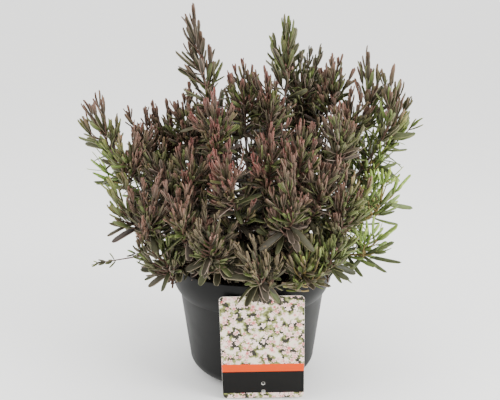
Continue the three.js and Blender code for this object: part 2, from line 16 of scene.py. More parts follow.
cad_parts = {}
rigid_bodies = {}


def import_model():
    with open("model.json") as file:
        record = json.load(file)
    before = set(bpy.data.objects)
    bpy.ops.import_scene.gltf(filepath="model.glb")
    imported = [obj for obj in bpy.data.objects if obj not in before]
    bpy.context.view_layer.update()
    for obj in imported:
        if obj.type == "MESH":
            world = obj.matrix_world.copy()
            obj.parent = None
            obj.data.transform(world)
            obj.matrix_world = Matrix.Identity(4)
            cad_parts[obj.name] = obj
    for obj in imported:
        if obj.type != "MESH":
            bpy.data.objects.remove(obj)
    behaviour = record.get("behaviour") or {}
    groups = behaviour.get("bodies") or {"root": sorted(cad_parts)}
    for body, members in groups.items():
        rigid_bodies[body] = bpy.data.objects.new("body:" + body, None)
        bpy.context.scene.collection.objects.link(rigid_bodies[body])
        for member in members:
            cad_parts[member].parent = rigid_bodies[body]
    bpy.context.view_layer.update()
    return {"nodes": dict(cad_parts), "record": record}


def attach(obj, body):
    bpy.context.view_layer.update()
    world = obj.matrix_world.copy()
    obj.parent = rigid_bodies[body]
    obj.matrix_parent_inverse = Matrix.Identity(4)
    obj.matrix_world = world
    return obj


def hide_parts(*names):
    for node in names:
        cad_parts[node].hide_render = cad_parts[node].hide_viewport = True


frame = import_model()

bl_info = {
    "name": "Potted Bog Rosemary",
    "version": (1, 0, 0),
    "blender": (4, 5, 0),
    "location": "3D View > Sidebar > Bog Rosemary",
    "description": "Makes the pot, compost, label and leafy stems of a potted bog rosemary",
    "category": "Add Mesh",
}

MM = 0.001
SAME_POINT = 1e-6
FULL_TURN = 2 * math.pi
GOLDEN_ANGLE = math.pi * (3 - math.sqrt(5))
UP = Vector((0, 0, 1))

# The picture is this many pixels wide. The camera stands in front of the plant and looks down
# on a point of the upright axis, and its picture is moved sideways by a few pixels.
PICTURE_WIDTH = 500
PICTURE_SHIFT = -1.9
CAMERA_DISTANCE = 0.85
CAMERA_PITCH = math.radians(15.7)
CAMERA_AIM = 0.2108
CAMERA_FOCAL = 731
SENSOR_WIDTH = 36

# The floor reaches this far each way. The softboxes face a point in the plant, and the glow
# from overhead is as wide as a cloudy sky and leans a little to the front and the right.
FLOOR_REACH = 120000
LIGHT_AIM = Vector((0, 0, 0.2))
GLOW_ANGLE = math.radians(80)
GLOW_LEAN = (math.radians(12), math.radians(6), 0)

# The pot's sizes, the same as in the CAD part.
POT_HEIGHT = 142
RIM_RADIUS = 95
WALL = 2
FLOOR_TOP = 4.5
COLLAR_FOOT = 130.5
LEDGE = (85.3, 103)
FOOT = (75.3, 24)
BASE_RADIUS = 40
CHANNEL = [(20, 0), (24, 0), (25.5, 2.5), (35, 2.5), (36.5, 0), (38.5, 0)]
CHANNEL_FILLET = 0.6
DRAIN_COUNT = 8
DRAIN_RADIUS = 4
DRAIN_RING = 30.2

# How many straight steps stand for the foot's quarter turn, the side's curve, the half round
# lip, a drain hole's circle and a fillet.
FOOT_STEPS = 12
SIDE_STEPS = 14
LIP_STEPS = 8
DRAIN_SIDES = 24
FILLET_STEPS = 4
# The most of an edge that a fillet takes at either end.
FILLET_REACH = 0.45

# The compost: a little clear of the wall, with a top that rolls in lumps of a given size and
# calms down towards its edge.
COMPOST_TOP = 128
COMPOST_FLOOR = 5
COMPOST_GAP = 0.45
COMPOST_SHOULDER = (92.3, COMPOST_TOP - 2)
COMPOST_RADIUS = 92
COMPOST_RINGS = 46
COMPOST_SIDES = 160
COMPOST_LUMPS = 14
COMPOST_LIFT = 1.5
COMPOST_CALM = 6
CRUMB_SIZE = 1.6
CRUMB_STRETCHES = (1.0, 1.4, 3.2)

# The label's sizes, the same as in the CAD part.
CARD_WIDTH = 91.5
CARD_HEIGHT = 131
CARD_THICKNESS = 0.8
CARD_CORNER = 5
CARD_BEVEL = 0.15
CARD_TOP = (10.4, -96.8, 132)
CARD_LEAN = math.radians(6.5)
CARD_ROLL = math.radians(1.2)
CORNER_STEPS = 8
PUNCH_HEIGHTS = (9, 19.5)
PUNCH_RADIUS = 1.75
PUNCH_SIDES = 24
TONGUE_WIDTH = 13
TONGUE_GAP = 0.3
TONGUE_SINK = 0.1
TONGUE_INSET = 3
TONGUE_END = COMPOST_TOP + 1.2
TONGUE_BEND = 1.6
TONGUE_STEPS = 6

# The print. Its two bands and the strip of blossoms below them end at these shares of the
# card's height, and a grey ring of bare card shows round each punched hole. Each layer of
# blossoms has the size of its cells, how far its petals stand out, their reach in a cell and
# the turn of its pattern.
BAND_TOP = 0.345
DARK_BAND_TOP = 0.27
STRIP_TOP = 0.053
PUNCH_RING = 0.6
PETALS = 5
BLOSSOM_LAYERS = [(8.0, 0.11, 0.36, 0.4), (6.0, 0.1, 0.34, 1.7)]
LEAFAGE_SIZE = 11
BUNCH_SIZE = 16

# Fork and tip of each leafy stem that shows from the front. Stem 1 is CAD node shoot_01.
FRONT_STEMS = [
    ((-52, 10, 342), (-65, 10, 427)),
    ((41, 25, 350), (36, 25, 413)),
    ((60, 32, 328), (68, 35, 382)),
    ((91, 20, 326), (89, 20, 374)),
    ((132, 12, 312), (130, 10, 381)),
    ((152, -10, 298), (154, -10, 363)),
    ((160, 14, 280), (178, 4, 331)),
    ((-164, 0, 276), (-174, 0, 333)),
    ((-150, 22, 228), (-172, 18, 268)),
    ((-134, -32, 254), (-126, -32, 307)),
    ((-131, -62, 205), (-152, -66, 250)),
    ((-110, -80, 200), (-98, -82, 258)),
    ((-44, -102, 184), (-34, -106, 228)),
    ((9, -112, 157), (0, -112, 204)),
    ((40, -97, 215), (42, -99, 286)),
    ((96, -75, 205), (98, -77, 270)),
    ((-21, -92, 248), (-24, -96, 299)),
    ((19, -70, 262), (19, -72, 312)),
    ((-38, -56, 298), (-42, -54, 341)),
    ((-8, 0, 320), (-10, 0, 372)),
    ((18, -14, 312), (15, -6, 362)),
    ((92, -62, 280), (92, -62, 331)),
    ((111, 4, 288), (111, 2, 341)),
    ((72, 46, 300), (72, 46, 352)),
    ((50, -76, 268), (47, -78, 313)),
    ((-72, 20, 288), (-73, 18, 340)),
    ((-98, 32, 270), (-99, 32, 323)),
    ((-121, 24, 262), (-124, 26, 316)),
    ((143, -22, 206), (157, -24, 256)),
    ((126, -46, 160), (136, -50, 198)),
    ((132, 2, 240), (137, 0, 297)),
    ((56, -100, 156), (47, -104, 196)),
    ((-66, -62, 244), (-65, -64, 294)),
    ((-95, -46, 240), (-95, -48, 290)),
    ((-70, -94, 204), (-66, -98, 256)),
    ((-90, -86, 158), (-98, -90, 202)),
    ((84, -84, 164), (88, -86, 208)),
    ((70, -76, 234), (70, -80, 280)),
    ((-112, -56, 164), (-166, -66, 158)),
]

# Broad leaves that stand out plainly: the number of the stem that bears each, and its tip.
MARKED_LEAVES = [
    (1, (-79, 8, 366)),
    (6, (177, -20, 297)),
    (7, (172, 0, 236)),
    (8, (-189, 0, 284)),
    (9, (-186, 10, 228)),
    (11, (-153, -70, 190)),
    (13, (-56, -112, 151)),
    (13, (-39, -114, 156)),
    (13, (-68, -108, 166)),
    (14, (-6, -126, 137)),
    (14, (33, -125, 138)),
    (14, (-26, -118, 166)),
    (15, (8, -118, 197)),
    (15, (64, -116, 192)),
    (30, (104, -60, 140)),
    (30, (121, -62, 136)),
    (30, (150, -55, 142)),
    (30, (160, -45, 172)),
    (30, (166, -52, 153)),
    (32, (66, -114, 143)),
    (32, (84, -102, 158)),
    (36, (-108, -97, 145)),
    (36, (-78, -106, 157)),
    (36, (-120, -85, 158)),
    (37, (114, -84, 158)),
    (37, (100, -100, 155)),
]

# Leaves that hang in front of the label's tongue, in the same form.
COVER_LEAVES = [
    (14, (4, -121, 139)),
    (14, (14, -122, 142)),
    (14, (22, -120, 146)),
    (14, (9, -119, 150)),
]

# The camera's place to a millimetre, and the gaps that show the background through the mound
# as seen from there: the middle and radius of each.
EYE = Vector((
    0,
    -round(CAMERA_DISTANCE / MM * math.cos(CAMERA_PITCH)),
    round((CAMERA_AIM + CAMERA_DISTANCE * math.sin(CAMERA_PITCH)) / MM)))
GAPS = [
    (Vector((-7, 0, 277)), 8.5),
    (Vector((-12, 0, 254)), 7),
    (Vector((-17, 0, 230)), 5),
]

# The back of the mound as rings of forks: how many, fork radius and height, the turn of the
# first and of the last in degrees, and the leading shoot's length.
BACK_RINGS = [
    (5, 122, 178, 15, 165, 44),
    (5, 114, 228, 27, 153, 50),
    (4, 78, 272, 42, 138, 52),
]
BACK_WOBBLE = 6
LEADER_LEAN = 0.12

# How a stem curves from the compost to its fork, and where its three main arms go: the same
# rules and shares as in the CAD part.
STRAIGHT = 2
LOW_HANDLE = {"rise": 0.4, "least": 26, "out": 0.12}
HIGH_HANDLE = {"drop": 0.26, "least": 30, "back": 0.2}
ARM_COUNT = 3
ARM_REACH = 21
ARM_REACH_RANGE = (0.75, 1.15)
ARM_TALL_FROM = 355
ARM_TALL_SHARE = 0.6
ARM_SHARE = 0.85
ARM_LONGEST = 46
ARM_HEIGHT_RANGE = (0.8, 1.05)
ARM_BULGE = 0.95
ARM_BEND_HEIGHT = 0.4
ARM_SPACING = 5
ARM_TURN = 0.9
ARM_NUDGES = (0, 0.4, -0.4, 0.8, -0.8)
DRAWS_PER_STEM = 10

# A CAD stem's foot and an arm's point are told by corners within these distances.
FOOT_TOLERANCE = 0.1
ARM_TOLERANCE = 0.5

# The arms that only the scene has: their reach and height as shares of a main arm's, how high
# up they bend, how much their turn varies, and how far they start from each other along the
# leading shoot. Those of the stems that make the mound's top reach further, and those at the
# back are taller.
EXTRA_ARM_REACH = (0.35, 1.2)
EXTRA_ARM_HEIGHT = (0.5, 1.0)
EXTRA_ARM_BEND = 0.2
EXTRA_ARM_TURN = 0.4
EXTRA_ARM_STEP = 0.9
EXTRA_ARM_DROP = 0.6
EXTRA_ARM_SPREAD = 1.6
EXTRA_ARM_BACK = 1.4
SPRIG_HEIGHT = 400
SPREADING_SIDE = 100

# How many steps the curves take, and the least share of a shoot that is twig.
TRUNK_STEPS = 24
ARM_STEPS = 14
SIDE_SHOOT_STEPS = 8
TWIG_STEPS = 7
LEAST_TWIG = 0.3

# How far leaves keep from the pot and the label, how far in front of the rim they count as
# meeting the label, and where along a leaf this is tried.
LEAF_MARGIN = 2.0
CARD_CLEARANCE = 8
LEAF_CHECKS = (0.1, 0.35, 0.6, 1.0)


class Habit(NamedTuple):
    """How a stem grows, against the stems of the mound.

    `bare` is how far each twig stops short of its shoot's tip, and `leafy` the most of a shoot
    that bears leaves. `opening` and `closing` are how much further its leaves spread at its
    end and at its foot. `tone` says how much paler it is. The rest are shares of what the
    mound has: the length, width and spacing of a shoot's leaves, the length and spacing of
    those below the fork, and the number of arms and of side shoots.
    """

    bare: float = 10
    leafy: float = math.inf
    opening: float = 0.0
    closing: float = 0.0
    tone: float = 0.0
    length: float = 1.0
    width: float = 1.0
    gap: float = 1.0
    low_length: float = 1.0
    low_gap: float = 1.0
    arms: float = 1.0
    side_shoots: float = 1.0


MOUND = Habit()
TALL_SPRIG = Habit(
    bare=14.8, opening=-0.04, closing=-0.12, length=1.56, width=1.44, gap=1.32,
    low_length=1.15, low_gap=1.16, arms=0.35)
SIDE_SPRIG = Habit(
    bare=14.8, opening=0.096, closing=-0.08, length=1.464, width=1.32, gap=1.88,
    low_length=1.15, low_gap=1.16, arms=0.35, side_shoots=0.55)
SPRAY = Habit(
    bare=16, opening=0.45, closing=0.4, tone=0.5, length=1.75, width=1.35, gap=2.1,
    low_gap=2.1, arms=0.4, side_shoots=0.55)
LOW_GREEN = Habit(
    bare=12.1, opening=0.1575, closing=0.14, tone=-0.95, length=1.0875, width=1.1225, gap=1.28,
    low_gap=1.385, arms=0.86)
TRAILING = Habit(
    bare=16, leafy=24, opening=0.7, closing=0.6, tone=-0.8, length=0.75, width=0.81, gap=0.648)

# The habit of each stem that stands out from the mound.
HABITS = {
    **dict.fromkeys((1, 2), TALL_SPRIG),
    **dict.fromkeys((5, 6, 7, 8, 11), SIDE_SPRIG),
    **dict.fromkeys((9, 29, 30, 31), SPRAY),
    32: LOW_GREEN,
    39: TRAILING,
}
TRAILING_REACH = 20

# Leaves of a shoot, at its end and at its foot, and how much each varies. They stand in close
# whorls with a wider gap after each.
SHOOT_SPREADS = (0.16, 0.75)
SHOOT_LENGTHS = (12, 18)
SHOOT_WIDTHS = (2.5, 4.0)
SHOOT_GAPS = (1.0, 2.2)
WHORL = 4
WHORL_GAPS = (8, 13)
SPREAD_RANGE = (-0.12, 0.26)
LENGTH_RANGE = (0.7, 1.25)
WIDTH_RANGE = (0.88, 1.14)
TONE_RANGE = (-0.45, 0.45)
AGE_RANGE = (-0.05, 0.15)
SHOOT_AGE = 0.6
LEAFY_SHARE = 0.95
TWIST = 0.35
LEAF_TONE = 0.7
PALEST = 1.5

# Leaves below the fork, next to it and further down inside, where they are old. They start and
# end at these distances from the fork and from the stem's foot.
OLD_LEAF_LENGTH = 33
LOW_SPREADS = (0.75, 1.3)
LOW_LENGTHS = (22, OLD_LEAF_LENGTH)
LOW_WIDTHS = (4.0, 6.4)
LOW_AGES = (0.65, 1.0)
LOW_START = 3.0
LOW_END = 22
LOW_OLD_FROM = 34
LOW_GAPS = (2.8, 4.6)
LOW_SPARSE_FROM = 45
LOW_SPREAD_RANGE = (-0.25, 0.3)
LOW_LENGTH_RANGE = (0.7, 1.1)
LOW_WIDTH_RANGE = (0.8, 1.1)
BRIGHT_LOW = {"width": 0.7, "spread": 0.75, "old": 0.4}

# Side shoots: how far below the fork the first one is, how far apart they are, how far out and
# up they go, how far they keep from the stem's foot and the pot, and how much older they look.
SIDE_SHOOT_FIRST = 8
SIDE_SHOOT_GAPS = (9, 14)
SIDE_SHOOT_REACH = (12, 27)
SIDE_SHOOT_RISE = (26, 48)
SIDE_SHOOT_END = 30
SIDE_SHOOT_MARGIN = 6
SIDE_SHOOT_AGE = 0.3
# Where a side shoot bends and where it ends, as shares of its reach and its rise, and how far
# its end turns upright.
SIDE_SHOOT_BEND = {"out": 0.9, "along": 0.3}
SIDE_SHOOT_OUT = 1.1
SIDE_SHOOT_UPRIGHT = 0.5

# Hanging leaves: from which fork heights down they grow, and how few there are at the sides.
SKIRT_HEIGHTS = (235, 175)
SKIRT_SIDES = (70, 88)
SKIRT_SIDE_SHARE = 0.4
SKIRT_TURN = 1.3
SKIRT_DROOP = 0.95
SKIRT_LENGTHS = (25, 36)
SKIRT_WIDTHS = (6.2, 8.6)
SKIRT_BRIGHT = 0.75
SKIRT_AGE = 0.85
SKIRT_ROOTS = (0, 16)
SKIRT_TONES = (-1.0, 0.4)

# Single broad leaves: their width on a green stem and on the others, their age, and the way
# that their faces look, which is up and to the front.
MARKED_WIDTHS = (5.6, 7.8)
MARKED_AGE = 0.95
MARKED_TONES = (-0.9, 0.4)
TO_VIEWER = Vector((0, -1.2, 1))

# A flower bud's length and width, and the thickness of its stalk at both ends. Then the share
# of the buds that a stem has, how far they stand from the leading shoot and above the fork, how
# their size varies, how much they lean out, and how far above the fork their stalks start.
BUD_SIZE = (4.4, 2.4)
BUD_STALK = (0.4, 0.35)
BUD_COUNT_RANGE = (0.3, 1)
BUD_REACH = (1.5, 5)
BUD_RISE = (8, 17)
BUD_SIZE_RANGE = (0.8, 1.25)
BUD_LEAN = 0.6
BUD_STALK_FOOT = 5

# A twig's radius at its foot and at its end: of a stem, and of a shoot.
TRUNK_TWIG = (1.9, 1.25)
SHOOT_TWIG = (1.1, 0.55)
# How green the twigs of a green stem are.
BRIGHT_TWIG = 0.8

# The first draw of each of a stem's shoots, and how many draws it keeps for each of them.
LEAF_DRAWS = 997
ARM_DRAWS = 60
EXTRA_ARM_DRAWS = 250
LOW_LEAF_DRAWS = 500
SIDE_SHOOT_DRAWS = 700
DRAWS_PER_SIDE_SHOOT = 30

# Places on the plant, each as a strength and its limits: on an axis, where the place begins and
# where it has its full strength. First where the leaves are green, then where green leaves are
# painted darker as shade, where stems are painted paler as light, and where their tips have
# lost their rosy colour.
GREEN_PLACES = [
    (1.0, [("x", 88, 132), ("z", 315, 260)]),
    (0.6, [("x", -128, -148), ("z", 300, 270), ("z", 190, 215)]),
    (0.7, [("x", 25, 55), ("z", 205, 165)]),
]
GREEN_INSIDE = (1.0, [("z", 130, 170), ("z", 365, 345)])
# Painted shade: green leaves are darker in the middle of the plant, inside the mound, and at its
# dimmer left side.
PAINTED_SHADE_PLACES = [
    (1.3, [("x", 132, 95), ("x", -132, -95)]),
    (0.6, [("x", -115, -130)]),
]
# Painted shade: the green sprays' leaves are darker towards their tops.
PAINTED_SHADE_SPRAY_TOP = (1.2, [("z", 235, 270)])
# Painted light: stems are paler at the right side, a little at the left side, and at the low front,
# where light falls on them.
PAINTED_LIGHT_PLACES = [
    (0.6, [("x", 125, 150)]),
    (0.2, [("x", -125, -150)]),
    (0.5, [("z", 232, 205), ("x", 70, 40), ("x", -70, -40)]),
]
RIPE_PLACES = [
    (0.18, [("z", 335, 365)]),
    (0.3, [("x", 10, 60)]),
    (0.4, [("x", -50, -85)]),
]
RIPE_BROWN = 0.05
RIPE_BROWN_SPRIG = 0.22

# The leaf ages at which green starts and is full, and how much a leaf differs from that: at the
# green places, inside the mound and on the olive tall sprig. The last range is how green the
# leaves of the low front and trailing sprigs are.
GREEN_AGES = (0.0, 0.45)
GREEN_AGE_RANGE = (-0.15, 0.2)
INSIDE_AGES = (0.3, 0.8)
INSIDE_RANGE = (-0.2, 0.85)
OLIVE_SPRIG_AGES = (0.0, 0.3)
OLIVE_SPRIG_RANGE = (0.1, 0.8)
FRONT_GREEN_RANGE = (-0.3, 1.0)

# A leaf blade's half width along its length, as shares of its width and length.
SLIM = [(0, 0.16), (0.3, 0.46), (0.8, 0.5), (0.96, 0.38), (1, 0)]
LONG = [(0, 0.1), (0.1, 0.26), (0.35, 0.46), (0.7, 0.5), (0.93, 0.38), (1, 0)]
BLUNT = [(0, 0.07), (0.08, 0.2), (0.26, 0.44), (0.55, 0.5), (0.84, 0.46), (0.96, 0.28), (1, 0)]
PLUMP = [(0, 0.12), (0.15, 0.4), (0.4, 0.5), (0.7, 0.4), (0.9, 0.2), (1, 0)]

# The leaf shapes, in the order that a leaf's kind counts them: outline, then bend, fold, rib
# and twist as leaf_shape has them. Each kind has two shapes, and buds have one.
LEAF_SHAPES = [
    (SLIM, 1.2, 0.22, 0.5, 0.3),
    (SLIM, 0.2, 0.22, 0.5, -0.4),
    (LONG, 1.6, 0.24, 0.4, -0.4),
    (LONG, 0.5, 0.22, 0.4, 0.5),
    (BLUNT, -0.8, 0.20, 0.18, 0.2),
    (BLUNT, -1.5, 0.16, 0.18, -0.3),
    (LONG, 1.6, 0.14, 0.24, 0.5),
    (LONG, 0.7, 0.16, 0.24, -0.5),
    (PLUMP, 0.1, 0.10, 0.90, 0.0),
]
YOUNG, GROWN, OLD, BRIGHT, BUD = 0, 2, 4, 6, 8
# A blade whose rib is thinner than this is broad: its upper side has shoulders and a groove.
BROAD_BELOW = 0.3


def srgb(text):
    """The linear colour of an sRGB hex value."""
    parts = [int(text[i:i + 2], 16) / 255 for i in (1, 3, 5)]
    return tuple(c / 12.92 if c <= 0.04045 else ((c + 0.055) / 1.055) ** 2.4 for c in parts)


def draw(item, use):
    """A number from 0 to 1 that looks random and is always the same for the same pair."""
    wave = math.sin(item * 127.1 + use * 311.7) * 43758.5453
    return wave - math.floor(wave)


def between(low, high, item, use):
    """A number between two limits."""
    return low + (high - low) * draw(item, use)


def mix(a, b, share):
    """The value that lies a share of the way from a to b."""
    return a + (b - a) * share


def polar(radius, turn, height=0):
    """A point at a turn round Z."""
    return Vector((radius * math.cos(turn), radius * math.sin(turn), height))


# Nodes, trees and materials.

def set_inputs(node, inputs):
    """Gives a node's inputs, by name or in order, values or the outputs of other nodes.

    A node stands for its first output in use, and a list goes into an input that takes several.
    """
    for key, value in inputs.items() if isinstance(inputs, dict) else enumerate(inputs):
        if isinstance(key, str):
            socket = next(s for s in node.inputs if s.enabled and s.name == key)
        else:
            socket = node.inputs[key]
        for source in value if isinstance(value, list) else [value]:
            if isinstance(source, bpy.types.Node):
                source = next(s for s in source.outputs if s.enabled)
            if isinstance(source, bpy.types.NodeSocket):
                node.id_data.links.new(source, socket)
            else:
                socket.default_value = (*source, 1) if socket.type == "RGBA" else source


def add_node(tree, kind, inputs=(), **settings):
    """Adds a node with its settings and its inputs."""
    node = tree.nodes.new(kind)
    for name, value in settings.items():
        setattr(node, name, value)
    set_inputs(node, inputs)
    return node


# Settings of nodes that occur often: a smooth Map Range, and a Mix of colours.
SMOOTH = {"interpolation_type": "SMOOTHSTEP"}
COLOUR = {"data_type": "RGBA"}


def new_material(name):
    """An empty material with the tree that holds its Principled shader, and that shader."""
    material = bpy.data.materials.new(name)
    material.use_nodes = True
    tree = material.node_tree
    return material, tree, tree.nodes["Principled BSDF"]


def waxy_leaf(name, colours, greens, margin):
    """Leaf of Andromeda, leathery with a wax bloom: satin, never glossy.

    `colours` are of a young, a grown and an old leaf, and `greens` the same three of a leaf
    that grew in shade. It is rosy at a young tip and olive towards its root, and painted darker
    towards its root as shade where the leaves crowd on the twig, with a pale line where the margin
    rolls under and a dull underside. Its mottling has spots of 4 mm, and its fine grain of 1.6 mm.
    """
    material, tree, shader = new_material(name)
    age, along, tone, green, under, edge = (
        add_node(tree, "ShaderNodeAttribute", attribute_name=mark).outputs["Fac"]
        for mark in ("age", "along", "tone", "green", "under", "edge"))
    place = add_node(tree, "ShaderNodeTexCoord").outputs["Object"]
    mottle = add_node(tree, "ShaderNodeTexNoise", {"Vector": place, "Scale": 1 / (4 * MM)})
    grain = add_node(tree, "ShaderNodeTexNoise", {"Vector": place, "Scale": 1 / (1.6 * MM)})

    rooted = add_node(tree, "ShaderNodeMath", [along, -0.5, 0.38], operation="MULTIPLY_ADD")
    ripeness = add_node(tree, "ShaderNodeMath", [age, rooted], operation="ADD")
    ripe = add_node(tree, "ShaderNodeMapRange", [ripeness, 0.0, 0.7], **SMOOTH)
    aged = add_node(tree, "ShaderNodeMapRange", [age, 0.6, 1.0], **SMOOTH)
    shades = []
    for young, grown, old in (colours, greens):
        fresh = add_node(tree, "ShaderNodeMix", {"Factor": ripe, "A": young, "B": grown}, **COLOUR)
        shades.append(add_node(
            tree, "ShaderNodeMix", {"Factor": aged, "A": fresh, "B": old}, **COLOUR))
    colour = add_node(
        tree, "ShaderNodeMix", {"Factor": green, "A": shades[0], "B": shades[1]}, **COLOUR)

    # Brightness by the leaf's tone, which holds its own tone and the light and shade painted by
    # its place on the plant, by painted shade that darkens it from its tip to its root, by its
    # mottling and by age.
    value = add_node(tree, "ShaderNodeMath", [tone, 0.42, 1.12], operation="MULTIPLY_ADD")
    for limits in (
            [along, 0.0, 0.7, 0.5, 1.15], [mottle, 0.3, 0.7, 0.84, 1.16], [age, 0.15, 0.7, 1.1, 0.86]):
        share = add_node(tree, "ShaderNodeMapRange", limits, **SMOOTH)
        value = add_node(tree, "ShaderNodeMath", [value, share], operation="MULTIPLY")
    hue = add_node(tree, "ShaderNodeMath", [tone, 0.006, 0.5], operation="MULTIPLY_ADD")
    colour = add_node(
        tree, "ShaderNodeHueSaturation", {"Hue": hue, "Value": value, "Color": colour})

    dull = add_node(tree, "ShaderNodeMapRange", [under, 0.2, 0.9, 0.0, 0.22], **SMOOTH)
    colour = add_node(
        tree, "ShaderNodeMix", {"Factor": dull, "A": colour, "B": srgb("#6f6a5c")}, **COLOUR)
    near_edge = add_node(tree, "ShaderNodeMapRange", [edge, 0.5, 1.0], **SMOOTH)
    shown = add_node(tree, "ShaderNodeMapRange", [age, 0.55, 0.85, 0.4, 0.8], **SMOOTH)
    rolled = add_node(tree, "ShaderNodeMath", [near_edge, shown], operation="MULTIPLY")
    rim = add_node(
        tree, "ShaderNodeMix", {"Factor": green, "A": margin, "B": srgb("#7f8a4c")}, **COLOUR)
    colour = add_node(tree, "ShaderNodeMix", {"Factor": rolled, "A": colour, "B": rim}, **COLOUR)
    bump = add_node(
        tree, "ShaderNodeBump", {"Height": grain, "Distance": 0.08 * MM, "Strength": 0.5})
    set_inputs(shader, {
        "Base Color": colour,
        "Roughness": add_node(tree, "ShaderNodeMapRange", [mottle, 0.3, 0.7, 0.38, 0.56], **SMOOTH),
        "Specular IOR Level": 0.2,
        "Normal": bump,
    })
    return material


def young_bark():
    """Bark of a thin woody stem: smooth and reddish tan where young, brown and scaly below.

    Its scales are about 3 mm across.
    """
    material, tree, shader = new_material("woody_bark")
    thick, green = (
        add_node(tree, "ShaderNodeAttribute", attribute_name=mark).outputs["Fac"]
        for mark in ("thick", "green"))
    place = add_node(tree, "ShaderNodeTexCoord").outputs["Object"]
    scales = add_node(
        tree, "ShaderNodeTexNoise", {"Vector": place, "Scale": 1 / (3 * MM), "Detail": 4.0})
    old = add_node(tree, "ShaderNodeMapRange", [thick, 0.9 * MM, 1.7 * MM], **SMOOTH)
    colour = add_node(
        tree, "ShaderNodeMix", {"Factor": old, "A": srgb("#563a2e"), "B": srgb("#3e3129")},
        **COLOUR)
    flaked = add_node(tree, "ShaderNodeMapRange", [scales, 0.35, 0.7, 0.0, 0.3], **SMOOTH)
    colour = add_node(
        tree, "ShaderNodeMix", {"Factor": flaked, "A": colour, "B": srgb("#7a6351")}, **COLOUR)
    colour = add_node(
        tree, "ShaderNodeMix", {"Factor": green, "A": colour, "B": srgb("#8f7c48")}, **COLOUR)
    bump = add_node(
        tree, "ShaderNodeBump", {"Height": scales, "Distance": 0.2 * MM, "Strength": 0.6})
    set_inputs(shader, {"Base Color": colour, "Roughness": 0.62, "Normal": bump})
    return material


def flower_bud():
    """Winter flower bud: small, closed and waxy, pale pink with a creamy base.

    The darker flecks on it are about 3 mm across.
    """
    material, tree, shader = new_material("waxy_flower_bud")
    along = add_node(tree, "ShaderNodeAttribute", attribute_name="along").outputs["Fac"]
    place = add_node(tree, "ShaderNodeTexCoord").outputs["Object"]
    flecks = add_node(tree, "ShaderNodeTexNoise", {"Vector": place, "Scale": 1 / (3 * MM)})
    colour = add_node(
        tree, "ShaderNodeMix", {"Factor": along, "A": srgb("#a08a76"), "B": srgb("#b07d72")},
        **COLOUR)
    flecked = add_node(tree, "ShaderNodeMapRange", [flecks, 0.35, 0.65, 0.0, 0.35], **SMOOTH)
    colour = add_node(
        tree, "ShaderNodeMix", {"Factor": flecked, "A": colour, "B": srgb("#8f6355")}, **COLOUR)
    set_inputs(shader, {"Base Color": colour, "Roughness": 0.5})
    return material


def moulded_plastic(colour):
    """Recycled polypropylene, injection moulded: satin dark grey with a faint orange peel.

    Its cloudy shade has spots of 45 mm, and its orange peel of 1.5 mm.
    """
    material, tree, shader = new_material("moulded_polypropylene")
    place = add_node(tree, "ShaderNodeTexCoord").outputs["Object"]
    cloud = add_node(
        tree, "ShaderNodeTexNoise", {"Vector": place, "Scale": 1 / (45 * MM), "Detail": 3.0})
    peel = add_node(tree, "ShaderNodeTexNoise", {"Vector": place, "Scale": 1 / (1.5 * MM)})
    paler = add_node(tree, "ShaderNodeMapRange", [cloud, 0.3, 0.7, 0.0, 0.3], **SMOOTH)
    shade = add_node(
        tree, "ShaderNodeMix", {"Factor": paler, "A": colour, "B": srgb("#1b1b1a")}, **COLOUR)
    bump = add_node(
        tree, "ShaderNodeBump", {"Height": peel, "Distance": 0.05 * MM, "Strength": 0.35})
    set_inputs(shader, {
        "Base Color": shade,
        "Roughness": add_node(tree, "ShaderNodeMapRange", [cloud, 0.3, 0.7, 0.4, 0.5], **SMOOTH),
        "Specular IOR Level": 0.16,
        "Normal": bump,
    })
    return material


def peat(colour):
    """Milled peat with bark crumbs: matte, near black when moist, with paler fibres.

    Its lumps are about 4 mm across.
    """
    material, tree, shader = new_material("moist_peat")
    place = add_node(tree, "ShaderNodeTexCoord").outputs["Object"]
    lumps = add_node(
        tree, "ShaderNodeTexNoise", {"Vector": place, "Scale": 1 / (4 * MM), "Detail": 5.0})
    fibrous = add_node(tree, "ShaderNodeMapRange", [lumps, 0.35, 0.75], **SMOOTH)
    shade = add_node(
        tree, "ShaderNodeMix", {"Factor": fibrous, "A": colour, "B": srgb("#54402f")}, **COLOUR)
    bump = add_node(
        tree, "ShaderNodeBump", {"Height": lumps, "Distance": 0.8 * MM, "Strength": 0.8})
    set_inputs(shader, {"Base Color": shade, "Roughness": 0.95, "Normal": bump})
    return material


def plain_sheet(name, spots, share, first, second, roughness):
    """A plain sheet that shades from one colour by a share to another, in spots of a size."""
    material, tree, shader = new_material(name)
    place = add_node(tree, "ShaderNodeTexCoord").outputs["Object"]
    haze = add_node(tree, "ShaderNodeTexNoise", {"Vector": place, "Scale": 1 / (spots * MM)})
    hazy = add_node(tree, "ShaderNodeMapRange", [haze, 0.3, 0.7, 0.0, share], **SMOOTH)
    shade = add_node(tree, "ShaderNodeMix", {"Factor": hazy, "A": first, "B": second}, **COLOUR)
    set_inputs(shader, {"Base Color": shade, "Roughness": roughness})
    return material


def white_card():
    """Polystyrene label sheet, unprinted back and edges: white with a soft sheen."""
    return plain_sheet("polystyrene_sheet", 20, 1.0, srgb("#e9e7e0"), srgb("#dedbd2"), 0.35)


def studio_paper(colour):
    """Matte studio paper sweep: plain and pale."""
    return plain_sheet("studio_paper", 60, 0.05, colour, srgb("#e4e4e2"), 0.9)


# Meshes.

def mesh_object(name, points, faces=(), edges=()):
    """A new object from points in millimetres."""
    mesh = bpy.data.meshes.new(name)
    mesh.from_pydata([Vector(p) * MM for p in points], list(edges), list(faces))
    mesh.update()
    made = bpy.data.objects.new(name, mesh)
    bpy.context.scene.collection.objects.link(made)
    return made


